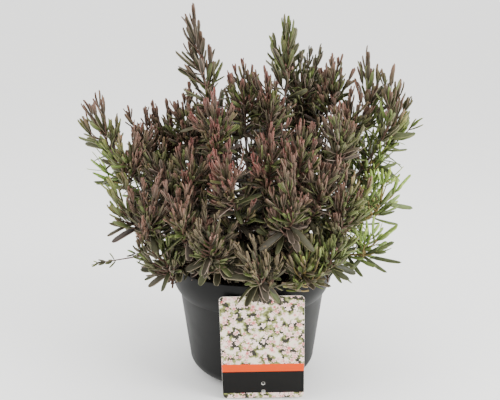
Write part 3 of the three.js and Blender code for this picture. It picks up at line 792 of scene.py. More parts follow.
def shade_smooth(made, angle=35):
    """Shades a mesh smooth, with a sharp edge where it turns by more than an angle."""
    made.data.polygons.foreach_set("use_smooth", [True] * len(made.data.polygons))
    made.data.set_sharp_from_angle(angle=math.radians(angle))


def face_outwards(mesh):
    """Turns a closed mesh's faces outwards, once its doubles are merged."""
    work = bmesh.new()
    work.from_mesh(mesh)
    bmesh.ops.remove_doubles(work, verts=work.verts, dist=SAME_POINT)
    bmesh.ops.recalc_face_normals(work, faces=work.faces)
    work.to_mesh(mesh)
    work.free()


def finished(source, name):
    """A plain mesh object with the name, from a source with its modifiers, which then goes."""
    view = bpy.context.evaluated_depsgraph_get()
    mesh = bpy.data.meshes.new_from_object(source.evaluated_get(view), depsgraph=view)
    old = source.data
    bpy.data.objects.remove(source)
    bpy.data.meshes.remove(old)
    mesh.name = name
    made = bpy.data.objects.new(name, mesh)
    bpy.context.scene.collection.objects.link(made)
    return made


def dress(made, node):
    """Hides a CAD node and fixes a piece to the plant's body in its place."""
    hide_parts(node)
    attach(made, "root")


def filleted(line, radius, steps=FILLET_STEPS):
    """A line of (x, y) points whose inner corners are rounded with a radius or less."""
    made = [line[0]]
    for before, corner, after in zip(line, line[1:], line[2:]):
        here = Vector(corner)
        back, on = Vector(before) - here, Vector(after) - here
        reach = min(radius, back.length * FILLET_REACH, on.length * FILLET_REACH)
        start, end = here + back.normalized() * reach, here + on.normalized() * reach
        for i in range(steps + 1):
            share = i / steps
            made.append(tuple(mix(mix(start, here, share), mix(here, end, share), share)))
    made.append(line[-1])
    return made


def turned(name, profile, sides):
    """A closed solid turned round Z from (radius, height) points that start and end on Z."""
    points, rings = [], []
    for radius, height in profile:
        if radius < SAME_POINT:
            rings.append([len(points)] * sides)
            points.append((0, 0, height))
        else:
            rings.append(list(range(len(points), len(points) + sides)))
            points.extend(polar(radius, FULL_TURN * i / sides, height) for i in range(sides))
    faces = []
    for low, high in zip(rings, rings[1:]):
        for i in range(sides):
            j = (i + 1) % sides
            corners = [low[i], low[j], high[j], high[i]]
            faces.append(list(dict.fromkeys(corners)))
    made = mesh_object(name, points, [f for f in faces if len(f) > 2])
    face_outwards(made.data)
    return made


# The pot.

def pot_side():
    """The pot's outer line from its flat underside up to the collar's foot."""
    line = []
    for i in range(FOOT_STEPS + 1):
        angle = i / FOOT_STEPS * math.pi / 2
        line.append((mix(BASE_RADIUS, FOOT[0], math.sin(angle)), FOOT[1] * (1 - math.cos(angle))))
    step, drop = RIM_RADIUS - LEDGE[0], COLLAR_FOOT - LEDGE[1]
    bend = (step * step + drop * drop) / (2 * step)
    sweep = math.asin(drop / bend)
    for i in range(SIDE_STEPS + 1):
        angle = sweep * (1 - i / SIDE_STEPS)
        radius = RIM_RADIUS - bend * (1 - math.cos(angle))
        line.append((radius, COLLAR_FOOT - bend * math.sin(angle)))
    return line


def moved_in(line, distance):
    """A line moved towards the axis, square to itself."""
    made = []
    for i, (radius, height) in enumerate(line):
        before, after = line[max(i - 1, 0)], line[min(i + 1, len(line) - 1)]
        along = Vector((after[0] - before[0], after[1] - before[1])).normalized()
        made.append((radius - along.y * distance, height + along.x * distance))
    return made


def above(line, height):
    """The part of a rising line that lies above a height, cut there."""
    i = next(i for i, point in enumerate(line) if point[1] > height)
    (r0, h0), (r1, h1) = line[i - 1], line[i]
    return [(mix(r0, r1, (height - h0) / (h1 - h0)), height)] + line[i:]


def make_pot(settings):
    """Turns the pot's shell and drills its drain holes."""
    side = pot_side()
    lip = WALL / 2
    rim = [
        (RIM_RADIUS - lip + lip * math.cos(a), POT_HEIGHT - lip + lip * math.sin(a))
        for a in (math.pi * i / LIP_STEPS for i in range(LIP_STEPS + 1))
    ]
    inner = above(moved_in(side, WALL), FLOOR_TOP)
    profile = [(0, 0), *filleted(CHANNEL, CHANNEL_FILLET), *side, *rim]
    profile += [*reversed(inner), (0, FLOOR_TOP)]
    shell = turned("pot_shell_rough", profile, settings.sides)
    drill = bmesh.new()
    for i in range(DRAIN_COUNT):
        at = polar(DRAIN_RING, (i + 0.5) * FULL_TURN / DRAIN_COUNT)
        bmesh.ops.create_cone(
            drill, cap_ends=True, segments=DRAIN_SIDES, radius1=DRAIN_RADIUS * MM,
            radius2=DRAIN_RADIUS * MM, depth=FLOOR_TOP * 4 * MM,
            matrix=Matrix.Translation(at * MM))
    cutter = mesh_object("drain_drill", [])
    drill.to_mesh(cutter.data)
    drill.free()
    cut = shell.modifiers.new("drains", "BOOLEAN")
    cut.object = cutter
    cut.solver = "EXACT"
    bpy.context.view_layer.update()
    pot = finished(shell, "pot_shell")
    bpy.data.objects.remove(cutter)
    shade_smooth(pot)
    pot.data.materials.clear()
    pot.data.materials.append(moulded_plastic(tuple(settings.colour)))
    dress(pot, "pot")


# The compost.

def new_tree(name, inputs):
    """A geometry tree with its named inputs, and its input and output nodes."""
    tree = bpy.data.node_groups.new(name, "GeometryNodeTree")
    tree.interface.new_socket("Geometry", in_out="INPUT", socket_type="NodeSocketGeometry")
    tree.interface.new_socket("Geometry", in_out="OUTPUT", socket_type="NodeSocketGeometry")
    for label, kind, value in inputs:
        socket = tree.interface.new_socket(label, in_out="INPUT", socket_type=kind)
        if value is not None:
            socket.default_value = value
    return tree, add_node(tree, "NodeGroupInput"), add_node(tree, "NodeGroupOutput")


def put_tree(made, tree, values):
    """Puts a geometry tree on an object, with values for its named inputs."""
    modifier = made.modifiers.new(tree.name, "NODES")
    modifier.node_group = tree
    for socket in tree.interface.items_tree:
        if socket.in_out == "INPUT" and socket.name in values:
            modifier[socket.identifier] = values[socket.name]
    bpy.context.view_layer.update()


def crumb(number, stretch):
    """A small uneven lump, drawn out along X."""
    work = bmesh.new()
    bmesh.ops.create_icosphere(work, subdivisions=1, radius=1)
    for corner in work.verts:
        jitter = between(0.7, 1.3, corner.index, number + 1)
        corner.co = Vector((corner.co.x * stretch, corner.co.y, corner.co.z * 0.7)) * jitter
        corner.co *= CRUMB_SIZE * MM
    made = mesh_object(f"crumb_{number}", [])
    work.to_mesh(made.data)
    work.free()
    return made


def new_collection(name, shapes):
    """A collection that holds shapes for a tree to pick from."""
    made = bpy.data.collections.new(name)
    for shape in shapes:
        bpy.context.scene.collection.objects.unlink(shape)
        made.objects.link(shape)
    bpy.context.scene.collection.children.link(made)
    return made


def remove_collection(shapes):
    """Removes a collection and its shapes, once they have been set in place."""
    for shape in list(shapes.objects):
        bpy.data.objects.remove(shape)
    bpy.data.collections.remove(shapes)


def crumb_tree(material):
    """The tree that strews crumbs over the upward faces of a bed."""
    tree, start, end = new_tree("peat_crumbs", [
        ("Crumbs per square metre", "NodeSocketFloat", 60000.0),
        ("Crumb shapes", "NodeSocketCollection", None),
        ("Smallest", "NodeSocketFloat", 0.5),
        ("Largest", "NodeSocketFloat", 1.3),
        ("Steepest", "NodeSocketFloat", 0.6),
        ("Seed", "NodeSocketInt", 4),
        ("Turn seed", "NodeSocketInt", 9),
    ])
    given = start.outputs
    normal = add_node(tree, "GeometryNodeInputNormal")
    facing = add_node(tree, "ShaderNodeSeparateXYZ", [normal])
    upward = add_node(
        tree, "FunctionNodeCompare", [facing.outputs["Z"], given["Steepest"]],
        data_type="FLOAT", operation="GREATER_THAN")
    points = add_node(
        tree, "GeometryNodeDistributePointsOnFaces",
        {"Mesh": given["Geometry"], "Selection": upward,
         "Density": given["Crumbs per square metre"], "Seed": given["Seed"]})
    shapes = add_node(
        tree, "GeometryNodeCollectionInfo",
        {"Collection": given["Crumb shapes"], "Separate Children": True})
    size = add_node(
        tree, "FunctionNodeRandomValue",
        {"Min": given["Smallest"], "Max": given["Largest"], "Seed": given["Seed"]})
    turn = add_node(
        tree, "FunctionNodeRandomValue", {"Max": (FULL_TURN,) * 3, "Seed": given["Turn seed"]},
        data_type="FLOAT_VECTOR")
    crumbs = add_node(
        tree, "GeometryNodeInstanceOnPoints",
        {"Points": points, "Instance": shapes, "Pick Instance": True,
         "Rotation": add_node(tree, "FunctionNodeEulerToRotation", [turn]), "Scale": size})
    both = add_node(tree, "GeometryNodeJoinGeometry", [[crumbs, given["Geometry"]]])
    real = add_node(tree, "GeometryNodeRealizeInstances", [both])
    painted = add_node(
        tree, "GeometryNodeSetMaterial", {"Geometry": real, "Material": material})
    set_inputs(end, [painted])
    return tree


def make_compost(settings):
    """Turns the root ball, roughens its top and strews it with crumbs."""
    wall = above(moved_in(pot_side(), WALL + COMPOST_GAP), COMPOST_FLOOR)
    side = [point for point in wall if point[1] < COMPOST_SHOULDER[1]] + [COMPOST_SHOULDER]
    top = [
        (COMPOST_RADIUS * (1 - i / COMPOST_RINGS), COMPOST_TOP) for i in range(COMPOST_RINGS)
    ]
    profile = [(0, COMPOST_FLOOR), *side, *top, (0, COMPOST_TOP)]
    bed = turned("peat_bed_rough", profile, COMPOST_SIDES)
    for corner in bed.data.vertices:
        spot = corner.co / MM
        if spot.z > COMPOST_SHOULDER[1] + 1:
            calm = max(0.0, 1 - (spot.xy.length / COMPOST_RADIUS) ** COMPOST_CALM)
            height = noise.fractal(spot / COMPOST_LUMPS, 1.0, 2.0, 4) * settings.relief * calm
            corner.co.z += height * COMPOST_LIFT * MM
    shapes = new_collection(
        "crumb_shapes", [crumb(i, stretch) for i, stretch in enumerate(CRUMB_STRETCHES)])
    tree = crumb_tree(peat(tuple(settings.colour)))
    put_tree(bed, tree, {"Crumb shapes": shapes, "Crumbs per square metre": settings.crumbs})
    compost = finished(bed, "peat_bed")
    remove_collection(shapes)
    shade_smooth(compost, 50)
    dress(compost, "compost")


# The label.

def print_face(settings):
    """Offset print on polystyrene sheet, with a soft gloss.

    It shows a plain pattern of small five-petalled blossoms over leaf greens, above two bands
    and a strip of the same pattern.
    """
    material, tree, shader = new_material("printed_polystyrene")
    place = add_node(tree, "ShaderNodeUVMap", uv_map="card")
    # In millimetres from the card's lower left corner.
    spot = add_node(
        tree, "ShaderNodeVectorMath", [place, (CARD_WIDTH, CARD_HEIGHT, 1)],
        operation="MULTIPLY")
    leafage = add_node(
        tree, "ShaderNodeTexNoise", {"Vector": spot, "Scale": 1 / LEAFAGE_SIZE, "Detail": 5.0})
    bunches = add_node(
        tree, "ShaderNodeTexNoise", {"Vector": spot, "Scale": 1 / BUNCH_SIZE, "Detail": 1.0})
    leafy = add_node(tree, "ShaderNodeMapRange", [leafage, 0.44, 0.5], **SMOOTH)
    colour = add_node(
        tree, "ShaderNodeMix", {"Factor": leafy, "A": srgb("#34332a"), "B": srgb("#858a50")},
        **COLOUR)
    hazy = add_node(tree, "ShaderNodeMapRange", [leafage, 0.51, 0.6], **SMOOTH)
    colour = add_node(
        tree, "ShaderNodeMix", {"Factor": hazy, "A": colour, "B": srgb("#f0e4cf")}, **COLOUR)

    for size, spread, reach, turn in BLOSSOM_LAYERS:
        at = add_node(
            tree, "ShaderNodeVectorRotate", {"Vector": spot, "Angle": turn},
            rotation_type="Z_AXIS")
        cells = add_node(
            tree, "ShaderNodeTexVoronoi", {"Vector": at, "Scale": 1 / size},
            voronoi_dimensions="2D")
        away = add_node(
            tree, "ShaderNodeVectorMath", [at, cells.outputs["Position"]], operation="SUBTRACT")
        flat = add_node(tree, "ShaderNodeSeparateXYZ", [away])
        around = add_node(
            tree, "ShaderNodeMath", [flat.outputs["Y"], flat.outputs["X"]], operation="ARCTAN2")
        waves = add_node(tree, "ShaderNodeMath", [around, PETALS], operation="MULTIPLY")
        lobes = add_node(tree, "ShaderNodeMath", [waves], operation="COSINE")
        edge = add_node(
            tree, "ShaderNodeMath", [lobes, spread, reach], operation="MULTIPLY_ADD")
        distance = cells.outputs["Distance"]
        chance = add_node(tree, "ShaderNodeSeparateXYZ", [cells.outputs["Color"]])
        outer = add_node(tree, "ShaderNodeMapRange", [distance, 0.08, 0.42], **SMOOTH)
        petal = add_node(
            tree, "ShaderNodeMix", {"Factor": outer, "A": srgb("#c8605c"), "B": srgb("#ffcfc6")},
            **COLOUR)
        paler = add_node(tree, "ShaderNodeMapRange", [chance, 0.3, 1.0, 0.0, 0.8], **SMOOTH)
        petal = add_node(
            tree, "ShaderNodeMix", {"Factor": paler, "A": petal, "B": srgb("#fff0e8")}, **COLOUR)
        luck = add_node(tree, "ShaderNodeMath", [chance, bunches], operation="ADD")
        shown = add_node(tree, "ShaderNodeMath", [luck, 0.9], operation="GREATER_THAN")
        within = add_node(tree, "ShaderNodeMath", [distance, edge], operation="LESS_THAN")
        petals = add_node(tree, "ShaderNodeMath", [within, shown], operation="MULTIPLY")
        colour = add_node(
            tree, "ShaderNodeMix", {"Factor": petals, "A": colour, "B": petal}, **COLOUR)

    height = add_node(tree, "ShaderNodeSeparateXYZ", [place]).outputs["Y"]
    above_strip = add_node(tree, "ShaderNodeMath", [height, STRIP_TOP], operation="GREATER_THAN")
    for top, band in ((BAND_TOP, settings.band), (DARK_BAND_TOP, settings.dark_band)):
        below = add_node(tree, "ShaderNodeMath", [height, top], operation="LESS_THAN")
        inside = add_node(tree, "ShaderNodeMath", [below, above_strip], operation="MULTIPLY")
        colour = add_node(
            tree, "ShaderNodeMix", {"Factor": inside, "A": colour, "B": tuple(band)}, **COLOUR)
    for hole in PUNCH_HEIGHTS:
        away = add_node(
            tree, "ShaderNodeVectorMath", [spot, (CARD_WIDTH / 2, hole, 0)],
            operation="DISTANCE")
        ring = add_node(
            tree, "ShaderNodeMath", [away, PUNCH_RADIUS + PUNCH_RING], operation="LESS_THAN")
        colour = add_node(
            tree, "ShaderNodeMix", {"Factor": ring, "A": colour, "B": srgb("#85837c")}, **COLOUR)
    set_inputs(shader, {"Base Color": colour, "Roughness": 0.3, "Specular IOR Level": 0.15})
    return material


def card_outline(inset, depth):
    """The card's rounded outline, moved in by a distance, at a depth."""
    half, corner = CARD_WIDTH / 2 - inset, CARD_CORNER - inset
    low, high = -CARD_HEIGHT + inset, -inset
    centres = [(half - corner, high - corner, 0), (corner - half, high - corner, 1),
               (corner - half, low + corner, 2), (half - corner, low + corner, 3)]
    points = []
    for x, y, quarter in centres:
        for i in range(CORNER_STEPS + 1):
            angle = (quarter + i / CORNER_STEPS) * math.pi / 2
            points.append((x + corner * math.cos(angle), y + corner * math.sin(angle), depth))
    return points


def punch_outline(height, grow, depth):
    """The rim of a punched hole, from the card's lower edge up."""
    y = height - CARD_HEIGHT
    return [
        (PUNCH_RADIUS + grow) * Vector((math.cos(a), -math.sin(a), 0)) + Vector((0, y, depth))
        for a in (FULL_TURN * i / PUNCH_SIDES for i in range(PUNCH_SIDES))
    ]


def make_card():
    """The flat card with its punched holes, in its own plane, with a map of its print."""
    work = bmesh.new()
    levels = [
        (CARD_BEVEL, 0), (0, CARD_BEVEL), (0, CARD_THICKNESS - CARD_BEVEL),
        (CARD_BEVEL, CARD_THICKNESS)]
    loops = []
    for inset, depth in levels:
        outlines = [card_outline(inset, depth)]
        outlines += [punch_outline(h, inset, depth) for h in PUNCH_HEIGHTS]
        loops.append([[work.verts.new(Vector(p) * MM) for p in o] for o in outlines])
    for low, high in zip(loops, loops[1:]):
        for a, b in zip(low, high):
            for i in range(len(a)):
                j = (i + 1) % len(a)
                work.faces.new((a[i], a[j], b[j], b[i]))
    for level in (loops[0], loops[-1]):
        edges = []
        for loop in level:
            for i, corner in enumerate(loop):
                pair = (corner, loop[(i + 1) % len(loop)])
                edges.append(work.edges.get(pair) or work.edges.new(pair))
        bmesh.ops.triangle_fill(work, edges=edges, use_beauty=True)
    bmesh.ops.recalc_face_normals(work, faces=work.faces)
    chart = work.loops.layers.uv.new("card")
    for face in work.faces:
        face.material_index = 0 if face.normal.z > 0.9 else 1
        for loop in face.loops:
            spot = loop.vert.co / MM
            loop[chart].uv = (spot.x / CARD_WIDTH + 0.5, spot.y / CARD_HEIGHT + 1)
    place = (
        Matrix.Translation(Vector(CARD_TOP) * MM)
        @ Matrix.Rotation(math.pi / 2 + CARD_LEAN, 4, "X")
        @ Matrix.Rotation(CARD_ROLL, 4, "Z"))
    bmesh.ops.transform(work, matrix=place, verts=work.verts)
    return work


def add_tongue(work):
    """Adds the tongue that bends from behind the card's top edge over the pot's rim."""
    half = CARD_THICKNESS / 2
    roof = POT_HEIGHT + TONGUE_GAP + half
    front = -(RIM_RADIUS + TONGUE_GAP + half)
    inside = -(RIM_RADIUS - WALL - TONGUE_INSET + half)
    behind_card = CARD_TOP[1] + CARD_CORNER * math.tan(CARD_LEAN) + TONGUE_SINK
    path = filleted(
        [(behind_card, CARD_TOP[2] - CARD_CORNER), (front, roof), (inside, roof),
         (inside, TONGUE_END)], TONGUE_BEND, TONGUE_STEPS)
    rings = []
    for i, spot in enumerate(path):
        before, after = path[max(i - 1, 0)], path[min(i + 1, len(path) - 1)]
        along = (Vector(after) - Vector(before)).normalized()
        aside = Vector((-along.y, along.x)) * half
        ring = []
        for side, x in ((1, -1), (1, 1), (-1, 1), (-1, -1)):
            at = Vector(spot) + aside * side
            point = Vector((CARD_TOP[0] + x * TONGUE_WIDTH / 2, at.x, at.y))
            ring.append(work.verts.new(point * MM))
        rings.append(ring)
    fresh = [work.faces.new(rings[0]), work.faces.new(rings[-1])]
    for low, high in zip(rings, rings[1:]):
        for i in range(4):
            j = (i + 1) % 4
            fresh.append(work.faces.new((low[i], low[j], high[j], high[i])))
    for face in fresh:
        face.material_index = 1
    bmesh.ops.recalc_face_normals(work, faces=fresh)


def make_label(settings):
    """Makes the printed card with its tongue."""
    work = make_card()
    add_tongue(work)
    label = mesh_object("plant_label", [])
    work.to_mesh(label.data)
    work.free()
    shade_smooth(label)
    label.data.materials.append(print_face(settings))
    label.data.materials.append(white_card())
    dress(label, "label")


# The leaves.

def leaf_shape(name, outline, bend, fold, rib, twist):
    """A leaf blade one unit long and one wide, with its root at the origin.

    Bend, fold and rib are shares of the width: how far the tip lifts, how far the margins
    roll under, and how thick the blade is. The twist is the tip's turn in radians. The
    attributes `along`, `edge` and `under` say where on the blade each point lies.
    """
    points, marks = [], []
    for along, half in outline[:-1]:
        left, right = [(side * half, -fold * half * 2, 1, 0) for side in (-1, 1)]
        under = (0, -rib * (half * 1.4 + 0.3), 0, 1)
        if rib < BROAD_BELOW:
            shoulders = [(side * half * 0.6, 0.02, 0.25, 0) for side in (-1, 1)]
            ring = [left, shoulders[0], (0, -0.06, 0, 0), shoulders[1], right, under]
        else:
            ring = [left, (0, 0.3 * half, 0, 0), right, under]
        turn = Matrix.Rotation(twist * along, 2)
        for x, z, edge, below in ring:
            spot = turn @ Vector((x, z))
            points.append((spot.x, along, spot.y + bend * along * along))
            marks.append((along, edge, below))
    count = len(ring)
    tip = len(points)
    points.append((0, 1, bend))
    marks.append((1, 0.6, 0))
    faces = [tuple(range(count - 1, -1, -1))]
    for low in range(0, tip - count, count):
        for i in range(count):
            j = (i + 1) % count
            faces.append((low + i, low + j, low + count + j, low + count + i))
    for i in range(count):
        faces.append((tip - count + i, tip - count + (i + 1) % count, tip))
    made = mesh_object(name, [Vector(p) / MM for p in points], faces)
    face_outwards(made.data)
    for i, label in enumerate(("along", "edge", "under")):
        layer = made.data.attributes.new(label, "FLOAT", "POINT")
        layer.data.foreach_set("value", [mark[i] for mark in marks])
    return made


def smooth_step(low, high, value):
    """0 below one limit, 1 above the other, and smooth between."""
    share = min(1.0, max(0.0, (value - low) / (high - low)))
    return share * share * (3 - 2 * share)


def share_of_place(place, spot):
    """How much a spot has of what a place on the plant gives."""
    share, limits = place
    for axis, none, full in limits:
        share *= smooth_step(none, full, getattr(spot, axis))
    return share


def bent(start, bend, end, steps):
    """A smooth line from a start to an end that turns near a bend."""
    share = 2 / 3
    return list(interpolate_bezier(
        start, mix(start, bend, share), mix(end, bend, share), end, steps))


class LeafyStem:
    """One leafy stem: its centre lines as twigs, and its leaves as placed shapes."""

    def __init__(self, number, fork, tip, slot):
        self.number = number
        self.owner = number - 1
        self.fork = Vector(fork)
        self.tip = Vector(tip)
        self.slot = slot
        self.node = f"shoot_{number:02d}"
        self.habit = HABITS.get(number, MOUND)
        self.bright = slot == "leaves_bright"
        self.back = number > len(FRONT_STEMS)
        self.twigs = []
        self.leaves = []
        if self.habit is TRAILING:
            self.tip += (self.tip - self.fork).normalized() * TRAILING_REACH
        self.pale = self.habit.tone
        # Painted light: stems at the plant's sides and low front are made paler where light falls on
        # them.
        if not self.bright:
            self.pale += sum(share_of_place(place, self.tip) for place in PAINTED_LIGHT_PLACES)
        if slot == "leaves_brown":
            self.ripe = RIPE_BROWN_SPRIG if number in HABITS else RIPE_BROWN
        else:
            self.ripe = sum(share_of_place(place, self.tip) for place in RIPE_PLACES)
        corners = [v.co / MM for v in frame["nodes"][self.node].data.vertices]
        foot_level = min(c.z for c in corners) + FOOT_TOLERANCE
        foot = [c for c in corners if c.z < foot_level]
        self.seat = sum(foot, Vector()) / len(foot)
        self.corners = kdtree.KDTree(len(corners))
        for i, corner in enumerate(corners):
            self.corners.insert(corner, i)
        self.corners.balance()
        self.trunk = self.rise()

    def rise(self):
        """The stem's centre line from inside the compost to its fork."""
        rise = self.fork.z - COMPOST_TOP
        x, y = self.seat.xy
        low_height = COMPOST_TOP + max(rise * LOW_HANDLE["rise"], LOW_HANDLE["least"])
        above_seat = Vector((x, y, low_height))
        below_fork = Vector((self.fork.x, self.fork.y, low_height))
        lower = mix(above_seat, below_fork, LOW_HANDLE["out"])
        upper = mix(self.fork, Vector((x, y, self.fork.z)), HIGH_HANDLE["back"])
        upper.z = max(self.fork.z - rise * HIGH_HANDLE["drop"], COMPOST_TOP + HIGH_HANDLE["least"])
        start = Vector((x, y, COMPOST_TOP + STRAIGHT))
        return [self.seat.copy(), *interpolate_bezier(start, lower, upper, self.fork, TRUNK_STEPS)]

    def arm(self, order, number, turn, reach_share=1.0, height_share=1.0,
            bend_share=ARM_BEND_HEIGHT):
        """An arm's centre line: out from the leading shoot, then upright."""
        leader = self.tip - self.fork
        full = min(leader.length * ARM_SHARE, ARM_LONGEST)
        slack = (leader.length - full) * (order / ARM_COUNT)
        slim = ARM_TALL_SHARE if self.tip.z > ARM_TALL_FROM else 1
        reach = ARM_REACH * slim * between(*ARM_REACH_RANGE, number, 2) * reach_share
        height = full * between(*ARM_HEIGHT_RANGE, number, 3) * height_share
        along = leader.normalized()
        away = polar(reach, turn)
        away -= along * away.dot(along)
        start = self.fork + along * (slack + (order - 1) * ARM_SPACING)
        bend = start + away * ARM_BULGE + along * height * bend_share
        return bent(start, bend, start + away + along * height, ARM_STEPS)

    def cad_arm(self, order):
        """The arm that the CAD stem has, found by where its point is, or None if it has none."""
        number = self.owner * DRAWS_PER_STEM + order
        turn = self.owner * ARM_TURN + order * FULL_TURN / ARM_COUNT
        for nudge in ARM_NUDGES:
            line = self.arm(order, number, turn + nudge)
            if self.corners.find(line[-1])[2] < ARM_TOLERANCE:
                return line
        return None


def along_line(line, distance):
    """The place and direction at a distance back from a line's end."""
    left = distance
    for start, end in zip(reversed(line[:-1]), reversed(line)):
        step = (end - start).length
        if left <= step and step > 0:
            return mix(end, start, left / step), (end - start).normalized()
        left -= step
    return line[0].copy(), (line[1] - line[0]).normalized()


def line_length(line):
    """How long a line of points is."""
    return sum((b - a).length for a, b in zip(line, line[1:]))


def shortened(line, distance):
    """A line without its last stretch, in a few even steps."""
    length = line_length(line)
    keep = max(length - distance, length * LEAST_TWIG)
    return [
        along_line(line, length - keep * i / TWIG_STEPS)[0] for i in range(TWIG_STEPS + 1)
    ]


def in_the_way(point, margin=LEAF_MARGIN):
    """True where a point is in or too near to the pot, the compost or the label."""
    flat = math.hypot(point.x, point.y)
    if flat < RIM_RADIUS + margin and point.z < POT_HEIGHT + margin:
        return True
    beside = abs(point.x - CARD_TOP[0]) < CARD_WIDTH / 2 + margin
    near = point.y < 0 and flat < RIM_RADIUS + CARD_CLEARANCE
    return beside and near and point.z < CARD_TOP[2] + margin


def in_a_gap(point):
    """True where a point would close one of the gaps seen through the mound."""
    return any(
        (point - EYE).cross((middle - EYE).normalized()).length < radius
        for middle, radius in GAPS)


def shade_green(spot, age, draws):
    """How green a leaf is: most at the right side, the low left and the low front."""
    place = max(share_of_place(place, spot) for place in GREEN_PLACES)
    here = place * smooth_step(*GREEN_AGES, age + between(*GREEN_AGE_RANGE, draws, 28))
    inside = smooth_step(*INSIDE_AGES, age) * between(*INSIDE_RANGE, draws, 41)
    inside *= share_of_place(GREEN_INSIDE, spot)
    return min(1.0, max(0.0, here, inside))


def put_leaf(stem, root, heading, lift, length, width, kind, age, tone, draws):
    """Adds a leaf to a stem unless it would reach into the pot, the label or a gap."""
    heading = heading.normalized()
    lift = (lift - heading * lift.dot(heading)).normalized()
    for share in LEAF_CHECKS:
        spot = root + heading * length * share
        if in_a_gap(spot) or share > 0.5 and in_the_way(spot):
            return
    across = heading.cross(lift)
    turn = Matrix((across, heading, lift)).transposed().to_quaternion()
    green = shade_green(root, age, draws)
    if stem.habit is TALL_SPRIG and stem.slot == "leaves_olive":
        grown = smooth_step(*OLIVE_SPRIG_AGES, age)
        green = max(green, between(*OLIVE_SPRIG_RANGE, draws, 43) * grown)
    if stem.habit is SPRAY:
        green = 1.0
        # Painted shade: darker towards the spray's top.
        tone -= share_of_place(PAINTED_SHADE_SPRAY_TOP, root)
    elif stem.bright or stem.habit is TRAILING:
        green = max(0.0, between(*FRONT_GREEN_RANGE, draws, 42))
    else:
        # Painted shade: green leaves darken in the middle of the plant and at its left.
        tone -= green * max(share_of_place(place, root) for place in PAINTED_SHADE_PLACES)
    shape = kind if kind == BUD else kind + int(draw(draws, 29) * 2)
    stem.leaves.append((root, turn, (width, length, width), shape, age, tone, green))


def side_leaf(stem, line, distance, turn, spread, length, width, kind, age, tone, draws):
    """Adds a leaf that leaves a line at a distance from its end, at a spread from it."""
    root, along = along_line(line, distance)
    away = polar(1, turn)
    away = (away - along * away.dot(along)).normalized()
    heading = along * math.cos(spread) + away * math.sin(spread)
    lift = along * math.sin(spread) - away * math.cos(spread)
    lift = lift + heading.cross(lift) * between(-TWIST, TWIST, draws, 11)
    tone = min(tone + between(-LEAF_TONE, LEAF_TONE, draws, 12), PALEST)
    put_leaf(stem, root, heading, lift, length, width, kind, age, tone, draws)


def clothe_shoot(stem, line, base, settings, older=0.0):
    """Sets the close upright leaves of a shoot, from its end down."""
    habit = stem.habit
    twig = shortened(line, habit.bare)
    stem.twigs.append((twig, *SHOOT_TWIG))
    leafy = min(line_length(twig) * LEAFY_SHARE, habit.leafy)
    # A stem's paleness is its habit's tone plus painted light at the plant's sides and low front.
    tone = between(*TONE_RANGE, base, 30) + stem.pale
    older += between(*AGE_RANGE, base, 31) + stem.ripe
    distance, i = 0.0, 0
    while distance < leafy:
        share = distance / leafy
        draws = base + i
        spread = mix(*SHOOT_SPREADS, share ** 1.4) + mix(habit.opening, habit.closing, share)
        spread += between(*SPREAD_RANGE, draws, 13)
        length = mix(*SHOOT_LENGTHS, min(1.0, share * 1.6)) * habit.length
        length *= between(*LENGTH_RANGE, draws, 14) * settings.leaf_scale
        width = mix(*SHOOT_WIDTHS, share) * habit.width
        width *= between(*WIDTH_RANGE, draws, 15) * settings.leaf_scale
        kind = YOUNG if share < 0.5 and habit is MOUND else GROWN
        if stem.bright:
            kind = BRIGHT
        side_leaf(stem, twig, distance, base * 1.3 + i * GOLDEN_ANGLE, spread, length, width,
                  kind, share * SHOOT_AGE + older, tone, draws)
        gap = mix(*SHOOT_GAPS, share) if i % WHORL < WHORL - 1 else mix(*WHORL_GAPS, share)
        distance += gap * habit.gap * settings.leaf_spacing
        i += 1


def clothe_trunk(stem, settings):
    """Sets the broad leaves below the fork, and the older ones further down inside."""
    distance, i = LOW_START, 0
    length = line_length(stem.trunk)
    base = stem.owner * LEAF_DRAWS + LOW_LEAF_DRAWS
    while distance < length - LOW_END:
        draws = base + i
        old = min(1.0, distance / LOW_OLD_FROM)
        spread = mix(*LOW_SPREADS, old) + between(*LOW_SPREAD_RANGE, draws, 16)
        reach = mix(*LOW_LENGTHS, old) * between(*LOW_LENGTH_RANGE, draws, 17)
        reach *= stem.habit.low_length
        width = mix(*LOW_WIDTHS, old) * between(*LOW_WIDTH_RANGE, draws, 18)
        kind = OLD
        if stem.bright:
            kind = BRIGHT
            width *= BRIGHT_LOW["width"]
            spread *= BRIGHT_LOW["spread"]
            old *= BRIGHT_LOW["old"]
        side_leaf(stem, stem.trunk, distance, stem.owner * 2.1 + i * GOLDEN_ANGLE, spread,
                  reach * settings.leaf_scale, width * settings.leaf_scale, kind,
                  mix(*LOW_AGES, old), 0.0, draws)
        gap = LOW_GAPS[0] if distance < LOW_SPARSE_FROM else LOW_GAPS[1]
        distance += gap * stem.habit.low_gap * settings.leaf_spacing
        i += 1


